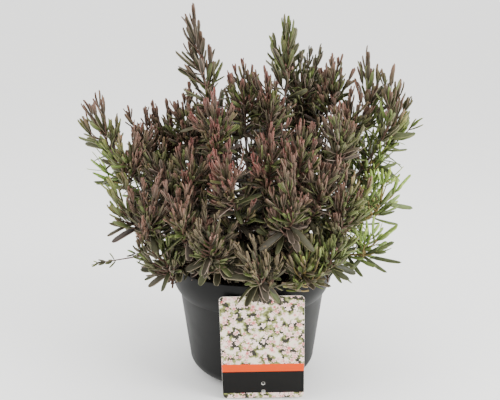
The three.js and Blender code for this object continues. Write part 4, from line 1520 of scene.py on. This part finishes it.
def add_side_shoots(stem, settings):
    """Adds short leafy shoots that leave the trunk below the fork and turn up."""
    room = line_length(stem.trunk) - SIDE_SHOOT_END
    for i in range(round(settings.side_shoots * stem.habit.side_shoots)):
        number = stem.owner * 41 + i
        distance = SIDE_SHOOT_FIRST + i * between(*SIDE_SHOOT_GAPS, number, 32)
        if distance > room:
            return
        root, along = along_line(stem.trunk, distance)
        away = polar(between(*SIDE_SHOOT_REACH, number, 33), stem.owner * 1.7 + i * GOLDEN_ANGLE)
        rise = between(*SIDE_SHOOT_RISE, number, 34)
        bend = root + away * SIDE_SHOOT_BEND["out"] + along * rise * SIDE_SHOOT_BEND["along"]
        end = root + away * SIDE_SHOOT_OUT + mix(along, UP, SIDE_SHOOT_UPRIGHT) * rise
        line = bent(root, bend, end, SIDE_SHOOT_STEPS)
        if not any(in_the_way(spot, SIDE_SHOOT_MARGIN) for spot in line):
            base = stem.owner * LEAF_DRAWS + SIDE_SHOOT_DRAWS + DRAWS_PER_SIDE_SHOOT * i
            clothe_shoot(stem, line, base, settings, SIDE_SHOOT_AGE)


def hang_skirt(stem, settings):
    """Sets broad leaves that hang outward from the low stems and hide the rim."""
    outward = math.atan2(stem.fork.y, stem.fork.x)
    low = smooth_step(*SKIRT_HEIGHTS, stem.fork.z)
    if not stem.back:
        low *= mix(1.0, SKIRT_SIDE_SHARE, smooth_step(*SKIRT_SIDES, abs(stem.fork.x)))
    kind, slim = (BRIGHT, SKIRT_BRIGHT) if stem.bright else (OLD, 1.0)
    for i in range(round(settings.skirt * low)):
        draws = stem.owner * 57 + i
        root, _ = along_line(stem.trunk, between(*SKIRT_ROOTS, draws, 35))
        away = polar(1, outward + between(-SKIRT_TURN, SKIRT_TURN, draws, 36))
        heading = away - UP * between(0.0, SKIRT_DROOP, draws, 37)
        length = between(*SKIRT_LENGTHS, draws, 38) * settings.leaf_scale
        width = between(*SKIRT_WIDTHS, draws, 39) * slim
        tone = between(*SKIRT_TONES, draws, 40)
        put_leaf(stem, root, heading, UP, length, width, kind, SKIRT_AGE, tone, draws)


def put_marked_leaf(stem, tip, order, settings):
    """Sets a leaf with a given tip, from the place on its stem that is one leaf's length away."""
    tip = Vector(tip)
    root = min(stem.trunk[3:], key=lambda spot: abs((spot - tip).length - OLD_LEAF_LENGTH))
    heading = tip - root
    kind, width = (BRIGHT, MARKED_WIDTHS[0]) if stem.bright else (OLD, MARKED_WIDTHS[1])
    draws = stem.owner * 13 + order
    tone = between(*MARKED_TONES, draws, 19)
    put_leaf(stem, root, heading, TO_VIEWER, heading.length, width * settings.leaf_scale, kind,
             MARKED_AGE, tone, draws)


def put_buds(stem, settings):
    """Sets a cluster of flower buds in the middle of a fork."""
    leader = (stem.tip - stem.fork).normalized()
    for i in range(round(settings.buds * between(*BUD_COUNT_RANGE, stem.owner, 21))):
        draws = stem.owner * 31 + i
        away = polar(between(*BUD_REACH, draws, 22), i * GOLDEN_ANGLE + stem.owner)
        root = stem.fork + leader * between(*BUD_RISE, draws, 23) + away
        heading = leader + away.normalized() * BUD_LEAN
        stem.twigs.append(([stem.fork + leader * BUD_STALK_FOOT, root], *BUD_STALK))
        length, width = (side * between(*BUD_SIZE_RANGE, draws, 24) for side in BUD_SIZE)
        put_leaf(stem, root, heading, -away, length, width, BUD, 0.0, 0.0, draws)


def list_stems():
    """Every leafy stem of the mound, with the slot that the record gives it."""
    slots = {part["node"]: part["material_slot"] for part in frame["record"]["subparts"]}
    ends = list(FRONT_STEMS)
    for count, radius, height, first, last, leader in BACK_RINGS:
        for i in range(count):
            wobble = between(-BACK_WOBBLE, BACK_WOBBLE, len(ends), 1)
            turn = math.radians(mix(first, last, i / (count - 1)))
            fork = polar(radius + wobble, turn, height + wobble)
            tip = fork * (1 + LEADER_LEAN)
            tip.z = fork.z + leader
            ends.append((fork, tip))
    return [
        LeafyStem(i + 1, fork, tip, slots[f"shoot_{i + 1:02d}"])
        for i, (fork, tip) in enumerate(ends)
    ]


def add_side_arms(stem, settings):
    """Adds the arms that the CAD stem leaves out, between and below its main ones."""
    wide = ARM_TALL_FROM < stem.tip.z < SPRIG_HEIGHT and abs(stem.tip.x) < SPREADING_SIDE
    reach = EXTRA_ARM_SPREAD if wide else 1.0
    height = EXTRA_ARM_BACK if stem.back else 1.0
    for extra in range(round(settings.extra_arms * stem.habit.arms)):
        number = stem.owner * DRAWS_PER_STEM + ARM_COUNT + extra
        turn = stem.owner * ARM_TURN + (extra + 0.5) * FULL_TURN / ARM_COUNT
        turn += between(-EXTRA_ARM_TURN, EXTRA_ARM_TURN, number, 25)
        order = extra % ARM_COUNT * EXTRA_ARM_STEP - EXTRA_ARM_DROP * (extra // ARM_COUNT)
        line = stem.arm(
            order, number, turn, between(*EXTRA_ARM_REACH, number, 26) * reach,
            between(*EXTRA_ARM_HEIGHT, number, 27) * height, EXTRA_ARM_BEND)
        base = stem.owner * LEAF_DRAWS + EXTRA_ARM_DRAWS + ARM_DRAWS * extra
        clothe_shoot(stem, line, base, settings)


def grow(stem, settings):
    """Lays out one stem: its twigs, its leaves and its buds."""
    first = stem.owner * LEAF_DRAWS
    stem.twigs.append((stem.trunk, *TRUNK_TWIG))
    leader = [stem.fork, mix(stem.fork, stem.tip, 0.5), stem.tip]
    clothe_shoot(stem, leader, first, settings)
    for order in range(ARM_COUNT):
        line = stem.cad_arm(order)
        if line:
            clothe_shoot(stem, line, first + ARM_DRAWS * (order + 1), settings)
    if stem.habit is TRAILING:
        return
    add_side_arms(stem, settings)
    clothe_trunk(stem, settings)
    add_side_shoots(stem, settings)
    hang_skirt(stem, settings)
    for order, (number, tip) in enumerate(MARKED_LEAVES + COVER_LEAVES):
        if number == stem.number:
            put_marked_leaf(stem, tip, order, settings)
    if not stem.bright:
        put_buds(stem, settings)


def stem_skeleton(stem):
    """A mesh of one stem's twig lines and one loose point for each leaf, with attributes."""
    points, edges, thick = [], [], []
    for line, start, end in stem.twigs:
        first = len(points)
        for i, spot in enumerate(line):
            points.append(spot)
            thick.append(mix(start, end, i / (len(line) - 1)) * MM)
            if i:
                edges.append((first + i - 1, first + i))
    twig_points = len(points)
    roots, turns, sizes, kinds, ages, tones, greens = zip(*stem.leaves)
    made = mesh_object(f"{stem.node}_skeleton", points + list(roots), edges=edges)
    none = [0.0] * twig_points
    fresh = [BRIGHT_TWIG if stem.bright else 0.0] * twig_points
    for name, kind, field, values in (
            ("thick", "FLOAT", "value", thick + [0.0] * len(roots)),
            ("kind", "INT", "value", [-1] * twig_points + list(kinds)),
            ("age", "FLOAT", "value", none + list(ages)),
            ("tone", "FLOAT", "value", none + list(tones)),
            ("green", "FLOAT", "value", fresh + list(greens)),
            ("turn", "QUATERNION", "value",
             [1, 0, 0, 0] * twig_points + [c for turn in turns for c in turn]),
            ("size", "FLOAT_VECTOR", "vector", none * 3 + [c * MM for size in sizes for c in size]),
    ):
        layer = made.data.attributes.new(name, kind, "POINT")
        layer.data.foreach_set(field, values)
    return made


def foliage_tree(bark, bud):
    """The tree that rounds the twig lines and sets a leaf shape on each loose point."""
    tree, start, end = new_tree("leafy_stem", [
        ("Leaf shapes", "NodeSocketCollection", None),
        ("Leaf material", "NodeSocketMaterial", None),
        ("Twig sides", "NodeSocketInt", 5),
        ("Leaf size", "NodeSocketFloat", 1.0),
        ("Leaf tilt", "NodeSocketFloat", 0.08),
        ("Seed", "NodeSocketInt", 1),
    ])
    given = start.outputs
    thick, turn, size, kind = (
        add_node(tree, "GeometryNodeInputNamedAttribute", {"Name": name}, data_type=data_type)
        for name, data_type in (
            ("thick", "FLOAT"), ("turn", "QUATERNION"), ("size", "FLOAT_VECTOR"), ("kind", "INT")))

    lines = add_node(tree, "GeometryNodeMeshToCurve", {"Mesh": given["Geometry"]})
    ring = add_node(
        tree, "GeometryNodeCurvePrimitiveCircle",
        {"Resolution": given["Twig sides"], "Radius": 1.0})
    twigs = add_node(
        tree, "GeometryNodeCurveToMesh",
        {"Curve": lines, "Profile Curve": ring, "Scale": thick, "Fill Caps": True})
    parts = [add_node(tree, "GeometryNodeSetMaterial", {"Geometry": twigs, "Material": bark})]

    catalogue = add_node(
        tree, "GeometryNodeCollectionInfo",
        {"Collection": given["Leaf shapes"], "Separate Children": True})
    least = add_node(tree, "ShaderNodeMath", [given["Leaf tilt"], -1.0], operation="MULTIPLY")
    jitter = add_node(
        tree, "FunctionNodeRandomValue",
        {"Min": least, "Max": given["Leaf tilt"], "Seed": given["Seed"]},
        data_type="FLOAT_VECTOR")
    tilted = add_node(
        tree, "FunctionNodeRotateRotation",
        {"Rotation": turn, "Rotate By": add_node(tree, "FunctionNodeEulerToRotation", [jitter])},
        rotation_space="LOCAL")
    scale = add_node(
        tree, "ShaderNodeVectorMath", {0: size, "Scale": given["Leaf size"]}, operation="SCALE")
    # Blades have the kinds below BUD, and twig points have a negative kind.
    for low, high, material in (
            (-0.5, BUD - 0.5, given["Leaf material"]), (BUD - 0.5, BUD + 0.5, bud)):
        from_low = add_node(tree, "ShaderNodeMath", [kind, low], operation="GREATER_THAN")
        to_high = add_node(tree, "ShaderNodeMath", [kind, high], operation="LESS_THAN")
        chosen = add_node(tree, "ShaderNodeMath", [from_low, to_high], operation="MULTIPLY")
        placed = add_node(
            tree, "GeometryNodeInstanceOnPoints",
            {"Points": given["Geometry"], "Selection": chosen, "Instance": catalogue,
             "Pick Instance": True, "Instance Index": kind, "Rotation": tilted, "Scale": scale})
        real = add_node(tree, "GeometryNodeRealizeInstances", [placed])
        parts.append(add_node(
            tree, "GeometryNodeSetMaterial", {"Geometry": real, "Material": material}))
    whole = add_node(tree, "GeometryNodeJoinGeometry", [parts])
    set_inputs(end, [add_node(tree, "GeometryNodeSetShadeSmooth", [whole])])
    return tree


def make_leafy_stems(settings):
    """Makes every leafy stem in place of its CAD node."""
    shapes = new_collection(
        "leaf_shapes", [leaf_shape(f"leaf_shape_{i}", *rule) for i, rule in enumerate(LEAF_SHAPES)])
    greens = [tuple(settings.bright), srgb("#6f8440"), srgb("#4b5134")]
    # Young leaves' colour, grown leaves' and old leaves', by the record's slot.
    looks = {
        "leaves_rose": (tuple(settings.rose), srgb("#332b1b"), srgb("#41362f")),
        "leaves_brown": (tuple(settings.brown), srgb("#2d2b19"), srgb("#403630")),
        "leaves_olive": (tuple(settings.olive), srgb("#282d18"), srgb("#3f372e")),
        "leaves_bright": (srgb("#7d6a50"), srgb("#514a32"), srgb("#474034")),
    }
    leaf_materials = {
        slot: waxy_leaf(f"waxy_{slot}", colours, greens, tuple(settings.margin))
        for slot, colours in looks.items()
    }
    tree = foliage_tree(young_bark(), flower_bud())
    for stem in list_stems():
        grow(stem, settings)
        skeleton = stem_skeleton(stem)
        put_tree(skeleton, tree, {
            "Leaf shapes": shapes,
            "Leaf material": leaf_materials[stem.slot],
            "Seed": settings.seed + stem.number,
        })
        made = finished(skeleton, f"leafy_stem_{stem.number:02d}")
        for name in ("kind", "turn", "size"):
            layer = made.data.attributes.get(name)
            if layer:
                made.data.attributes.remove(layer)
        dress(made, stem.node)
    remove_collection(shapes)


# The stage.

def soft_light(name, place, size, power):
    """A square soft light that faces the middle of the plant."""
    data = bpy.data.lights.new(name, "AREA")
    data.energy = power
    data.size = size
    light = bpy.data.objects.new(name, data)
    light.location = place
    light.rotation_euler = (LIGHT_AIM - Vector(place)).to_track_quat("-Z", "Y").to_euler()
    bpy.context.scene.collection.objects.link(light)


def make_sky(settings):
    """A white surround that is brighter behind the plant than behind the camera."""
    world = bpy.data.worlds.new("studio")
    world.use_nodes = True
    tree = world.node_tree
    heading = add_node(tree, "ShaderNodeTexCoord").outputs["Generated"]
    depth = add_node(tree, "ShaderNodeSeparateXYZ", [heading]).outputs["Y"]
    glow = add_node(
        tree, "ShaderNodeMapRange", [depth, -0.3, 0.6, settings.front_sky, settings.sky],
        **SMOOTH)
    set_inputs(tree.nodes["Background"], {"Color": (1, 1, 1), "Strength": glow})
    bpy.context.scene.world = world


def make_camera(settings):
    """The camera at the photograph's angle."""
    data = bpy.data.cameras.new("camera")
    data.sensor_width = SENSOR_WIDTH
    data.lens = settings.focal / PICTURE_WIDTH * SENSOR_WIDTH
    data.shift_x = PICTURE_SHIFT / PICTURE_WIDTH
    camera = bpy.data.objects.new("camera", data)
    back = settings.distance * math.cos(settings.pitch)
    rise = settings.distance * math.sin(settings.pitch)
    camera.location = (0, -back, settings.aim + rise)
    camera.rotation_euler = (math.pi / 2 - settings.pitch, 0, 0)
    bpy.context.scene.collection.objects.link(camera)
    bpy.context.scene.camera = camera


def make_stage(settings):
    """Makes the pale floor, the soft light and the camera."""
    corners = [(x * FLOOR_REACH, y * FLOOR_REACH, 0) for x, y in ((-1, -1), (1, -1), (1, 1), (-1, 1))]
    floor = mesh_object("floor", corners, [(0, 1, 2, 3)])
    floor.data.materials.append(studio_paper(tuple(settings.floor_colour)))
    make_sky(settings)
    soft_light("left_softbox", (-1.3, -0.5, 0.9), 0.9, settings.left_power)
    soft_light("right_softbox", (1.2, -0.7, 0.8), 0.8, settings.right_power)
    data = bpy.data.lights.new("overhead_glow", "SUN")
    data.energy = settings.top_light
    data.angle = GLOW_ANGLE
    overhead = bpy.data.objects.new("overhead_glow", data)
    overhead.rotation_euler = GLOW_LEAN
    bpy.context.scene.collection.objects.link(overhead)
    make_camera(settings)


# The add-on: settings, operators and panel.

class PotSettings(bpy.types.PropertyGroup):
    """The sizes and colours of the pot."""

    sides: bpy.props.IntProperty(
        name="Sides", description="Flat sides round the pot", default=192, min=48, max=256)
    colour: bpy.props.FloatVectorProperty(
        name="Plastic", description="Colour of the pot's plastic", subtype="COLOR",
        default=srgb("#0b0b0b"), min=0, max=1)


class CompostSettings(bpy.types.PropertyGroup):
    """The look of the compost."""

    crumbs: bpy.props.FloatProperty(
        name="Crumbs", description="Crumbs to a square metre", default=60000, min=0)
    relief: bpy.props.FloatProperty(
        name="Relief", description="Unevenness of the surface in millimetres", default=2.2, min=0)
    colour: bpy.props.FloatVectorProperty(
        name="Peat", description="Colour of the moist peat", subtype="COLOR",
        default=srgb("#251c15"), min=0, max=1)


class LabelSettings(bpy.types.PropertyGroup):
    """The colours of the label's bands."""

    band: bpy.props.FloatVectorProperty(
        name="Band", description="Colour of the narrow band", subtype="COLOR",
        default=srgb("#d94600"), min=0, max=1)
    dark_band: bpy.props.FloatVectorProperty(
        name="Dark band", description="Colour of the wide band", subtype="COLOR",
        default=srgb("#0d0d0c"), min=0, max=1)


class FoliageSettings(bpy.types.PropertyGroup):
    """The sizes and colours of the leaves."""

    leaf_scale: bpy.props.FloatProperty(
        name="Leaf size", description="Size of every leaf", default=1.0, min=0.5, max=1.5)
    leaf_spacing: bpy.props.FloatProperty(
        name="Leaf spacing", description="Distance between leaves along a shoot",
        default=1.0, min=0.5, max=3)
    extra_arms: bpy.props.IntProperty(
        name="Side arms", description="Arms on each stem besides its main three",
        default=13, min=0, max=16)
    buds: bpy.props.IntProperty(
        name="Buds", description="Most flower buds in one cluster", default=8, min=0, max=12)
    seed: bpy.props.IntProperty(
        name="Seed", description="Seed of each leaf's small tilt", default=11, min=0)
    rose: bpy.props.FloatVectorProperty(
        name="Rosy tips", description="Young leaves of the reddest stems", subtype="COLOR",
        default=srgb("#562b27"), min=0, max=1)
    brown: bpy.props.FloatVectorProperty(
        name="Brown tips", description="Young leaves of the brown stems", subtype="COLOR",
        default=srgb("#563a30"), min=0, max=1)
    olive: bpy.props.FloatVectorProperty(
        name="Olive tips", description="Young leaves of the olive stems", subtype="COLOR",
        default=srgb("#4a3f2b"), min=0, max=1)
    bright: bpy.props.FloatVectorProperty(
        name="Green tips", description="Young leaves of the green stems", subtype="COLOR",
        default=srgb("#8b9843"), min=0, max=1)
    side_shoots: bpy.props.IntProperty(
        name="Side shoots", description="Short shoots on each stem below its fork",
        default=7, min=0, max=10)
    skirt: bpy.props.IntProperty(
        name="Hanging leaves", description="Broad leaves that hang from each of the lowest stems",
        default=7, min=0, max=12)
    margin: bpy.props.FloatVectorProperty(
        name="Margins", description="The pale line along a leaf's edge", subtype="COLOR",
        default=srgb("#ad9788"), min=0, max=1)


class StageSettings(bpy.types.PropertyGroup):
    """The floor, the light and the camera."""

    floor_colour: bpy.props.FloatVectorProperty(
        name="Floor", description="Colour of the paper floor", subtype="COLOR",
        default=srgb("#f4f4f2"), min=0, max=1)
    front_sky: bpy.props.FloatProperty(
        name="Front sky", description="Brightness of the sky behind the camera", default=0.75, min=0)
    sky: bpy.props.FloatProperty(
        name="Surround", description="Brightness of the white surround", default=2.2, min=0)
    left_power: bpy.props.FloatProperty(
        name="Left light", description="Power of the left softbox", default=16, min=0, unit="POWER")
    right_power: bpy.props.FloatProperty(
        name="Right light", description="Power of the right softbox", default=30, min=0, unit="POWER")
    top_light: bpy.props.FloatProperty(
        name="Top light", description="Strength of the glow from overhead", default=2.5, min=0)
    focal: bpy.props.FloatProperty(
        name="Focal length", description="In pixels of the picture", default=CAMERA_FOCAL)
    distance: bpy.props.FloatProperty(
        name="Distance", description="From the camera to the plant's middle",
        default=CAMERA_DISTANCE, unit="LENGTH")
    pitch: bpy.props.FloatProperty(
        name="Pitch", description="How far the camera looks down", default=CAMERA_PITCH,
        subtype="ANGLE")
    aim: bpy.props.FloatProperty(
        name="Aim", description="Height of the point that the camera looks at",
        default=CAMERA_AIM, unit="LENGTH")


class BOGROSEMARY_OT_pot(bpy.types.Operator):
    """Make the nursery pot"""

    bl_idname = "bogrosemary.pot"
    bl_label = "Nursery pot"

    def execute(self, context):
        make_pot(context.scene.bog_pot)
        return {"FINISHED"}


class BOGROSEMARY_OT_compost(bpy.types.Operator):
    """Make the compost in the pot"""

    bl_idname = "bogrosemary.compost"
    bl_label = "Compost"

    def execute(self, context):
        make_compost(context.scene.bog_compost)
        return {"FINISHED"}


class BOGROSEMARY_OT_label(bpy.types.Operator):
    """Make the plant label on the pot's rim"""

    bl_idname = "bogrosemary.label"
    bl_label = "Plant label"

    def execute(self, context):
        make_label(context.scene.bog_label)
        return {"FINISHED"}


class BOGROSEMARY_OT_leafy_stems(bpy.types.Operator):
    """Make the leafy stems, each as one piece"""

    bl_idname = "bogrosemary.leafy_stems"
    bl_label = "Leafy stems"

    def execute(self, context):
        make_leafy_stems(context.scene.bog_foliage)
        return {"FINISHED"}


class BOGROSEMARY_OT_stage(bpy.types.Operator):
    """Make the floor, the light and the camera"""

    bl_idname = "bogrosemary.stage"
    bl_label = "Stage"

    def execute(self, context):
        make_stage(context.scene.bog_stage)
        return {"FINISHED"}


SECTIONS = [
    ("bog_pot", PotSettings, BOGROSEMARY_OT_pot),
    ("bog_compost", CompostSettings, BOGROSEMARY_OT_compost),
    ("bog_label", LabelSettings, BOGROSEMARY_OT_label),
    ("bog_foliage", FoliageSettings, BOGROSEMARY_OT_leafy_stems),
    ("bog_stage", StageSettings, BOGROSEMARY_OT_stage),
]


class BOGROSEMARY_PT_panel(bpy.types.Panel):
    """Lists each group of pieces with its settings."""

    bl_idname = "BOGROSEMARY_PT_panel"
    bl_label = "Bog Rosemary"
    bl_space_type = "VIEW_3D"
    bl_region_type = "UI"
    bl_category = "Bog Rosemary"

    def draw(self, context):
        for name, group, operator in SECTIONS:
            box = self.layout.box()
            for label in group.__annotations__:
                box.prop(getattr(context.scene, name), label)
            box.operator(operator.bl_idname)


def register():
    """Registers the settings, the operators and the panel."""
    for name, group, operator in SECTIONS:
        bpy.utils.register_class(group)
        bpy.utils.register_class(operator)
        setattr(bpy.types.Scene, name, bpy.props.PointerProperty(type=group))
    bpy.utils.register_class(BOGROSEMARY_PT_panel)


def unregister():
    """Takes back what register did."""
    bpy.utils.unregister_class(BOGROSEMARY_PT_panel)
    for name, group, operator in reversed(SECTIONS):
        delattr(bpy.types.Scene, name)
        bpy.utils.unregister_class(operator)
        bpy.utils.unregister_class(group)


def main():
    """Makes the whole scene."""
    register()
    bpy.ops.bogrosemary.pot()
    bpy.ops.bogrosemary.compost()
    bpy.ops.bogrosemary.label()
    bpy.ops.bogrosemary.leafy_stems()
    bpy.ops.bogrosemary.stage()


if __name__ == "__main__":
    main()
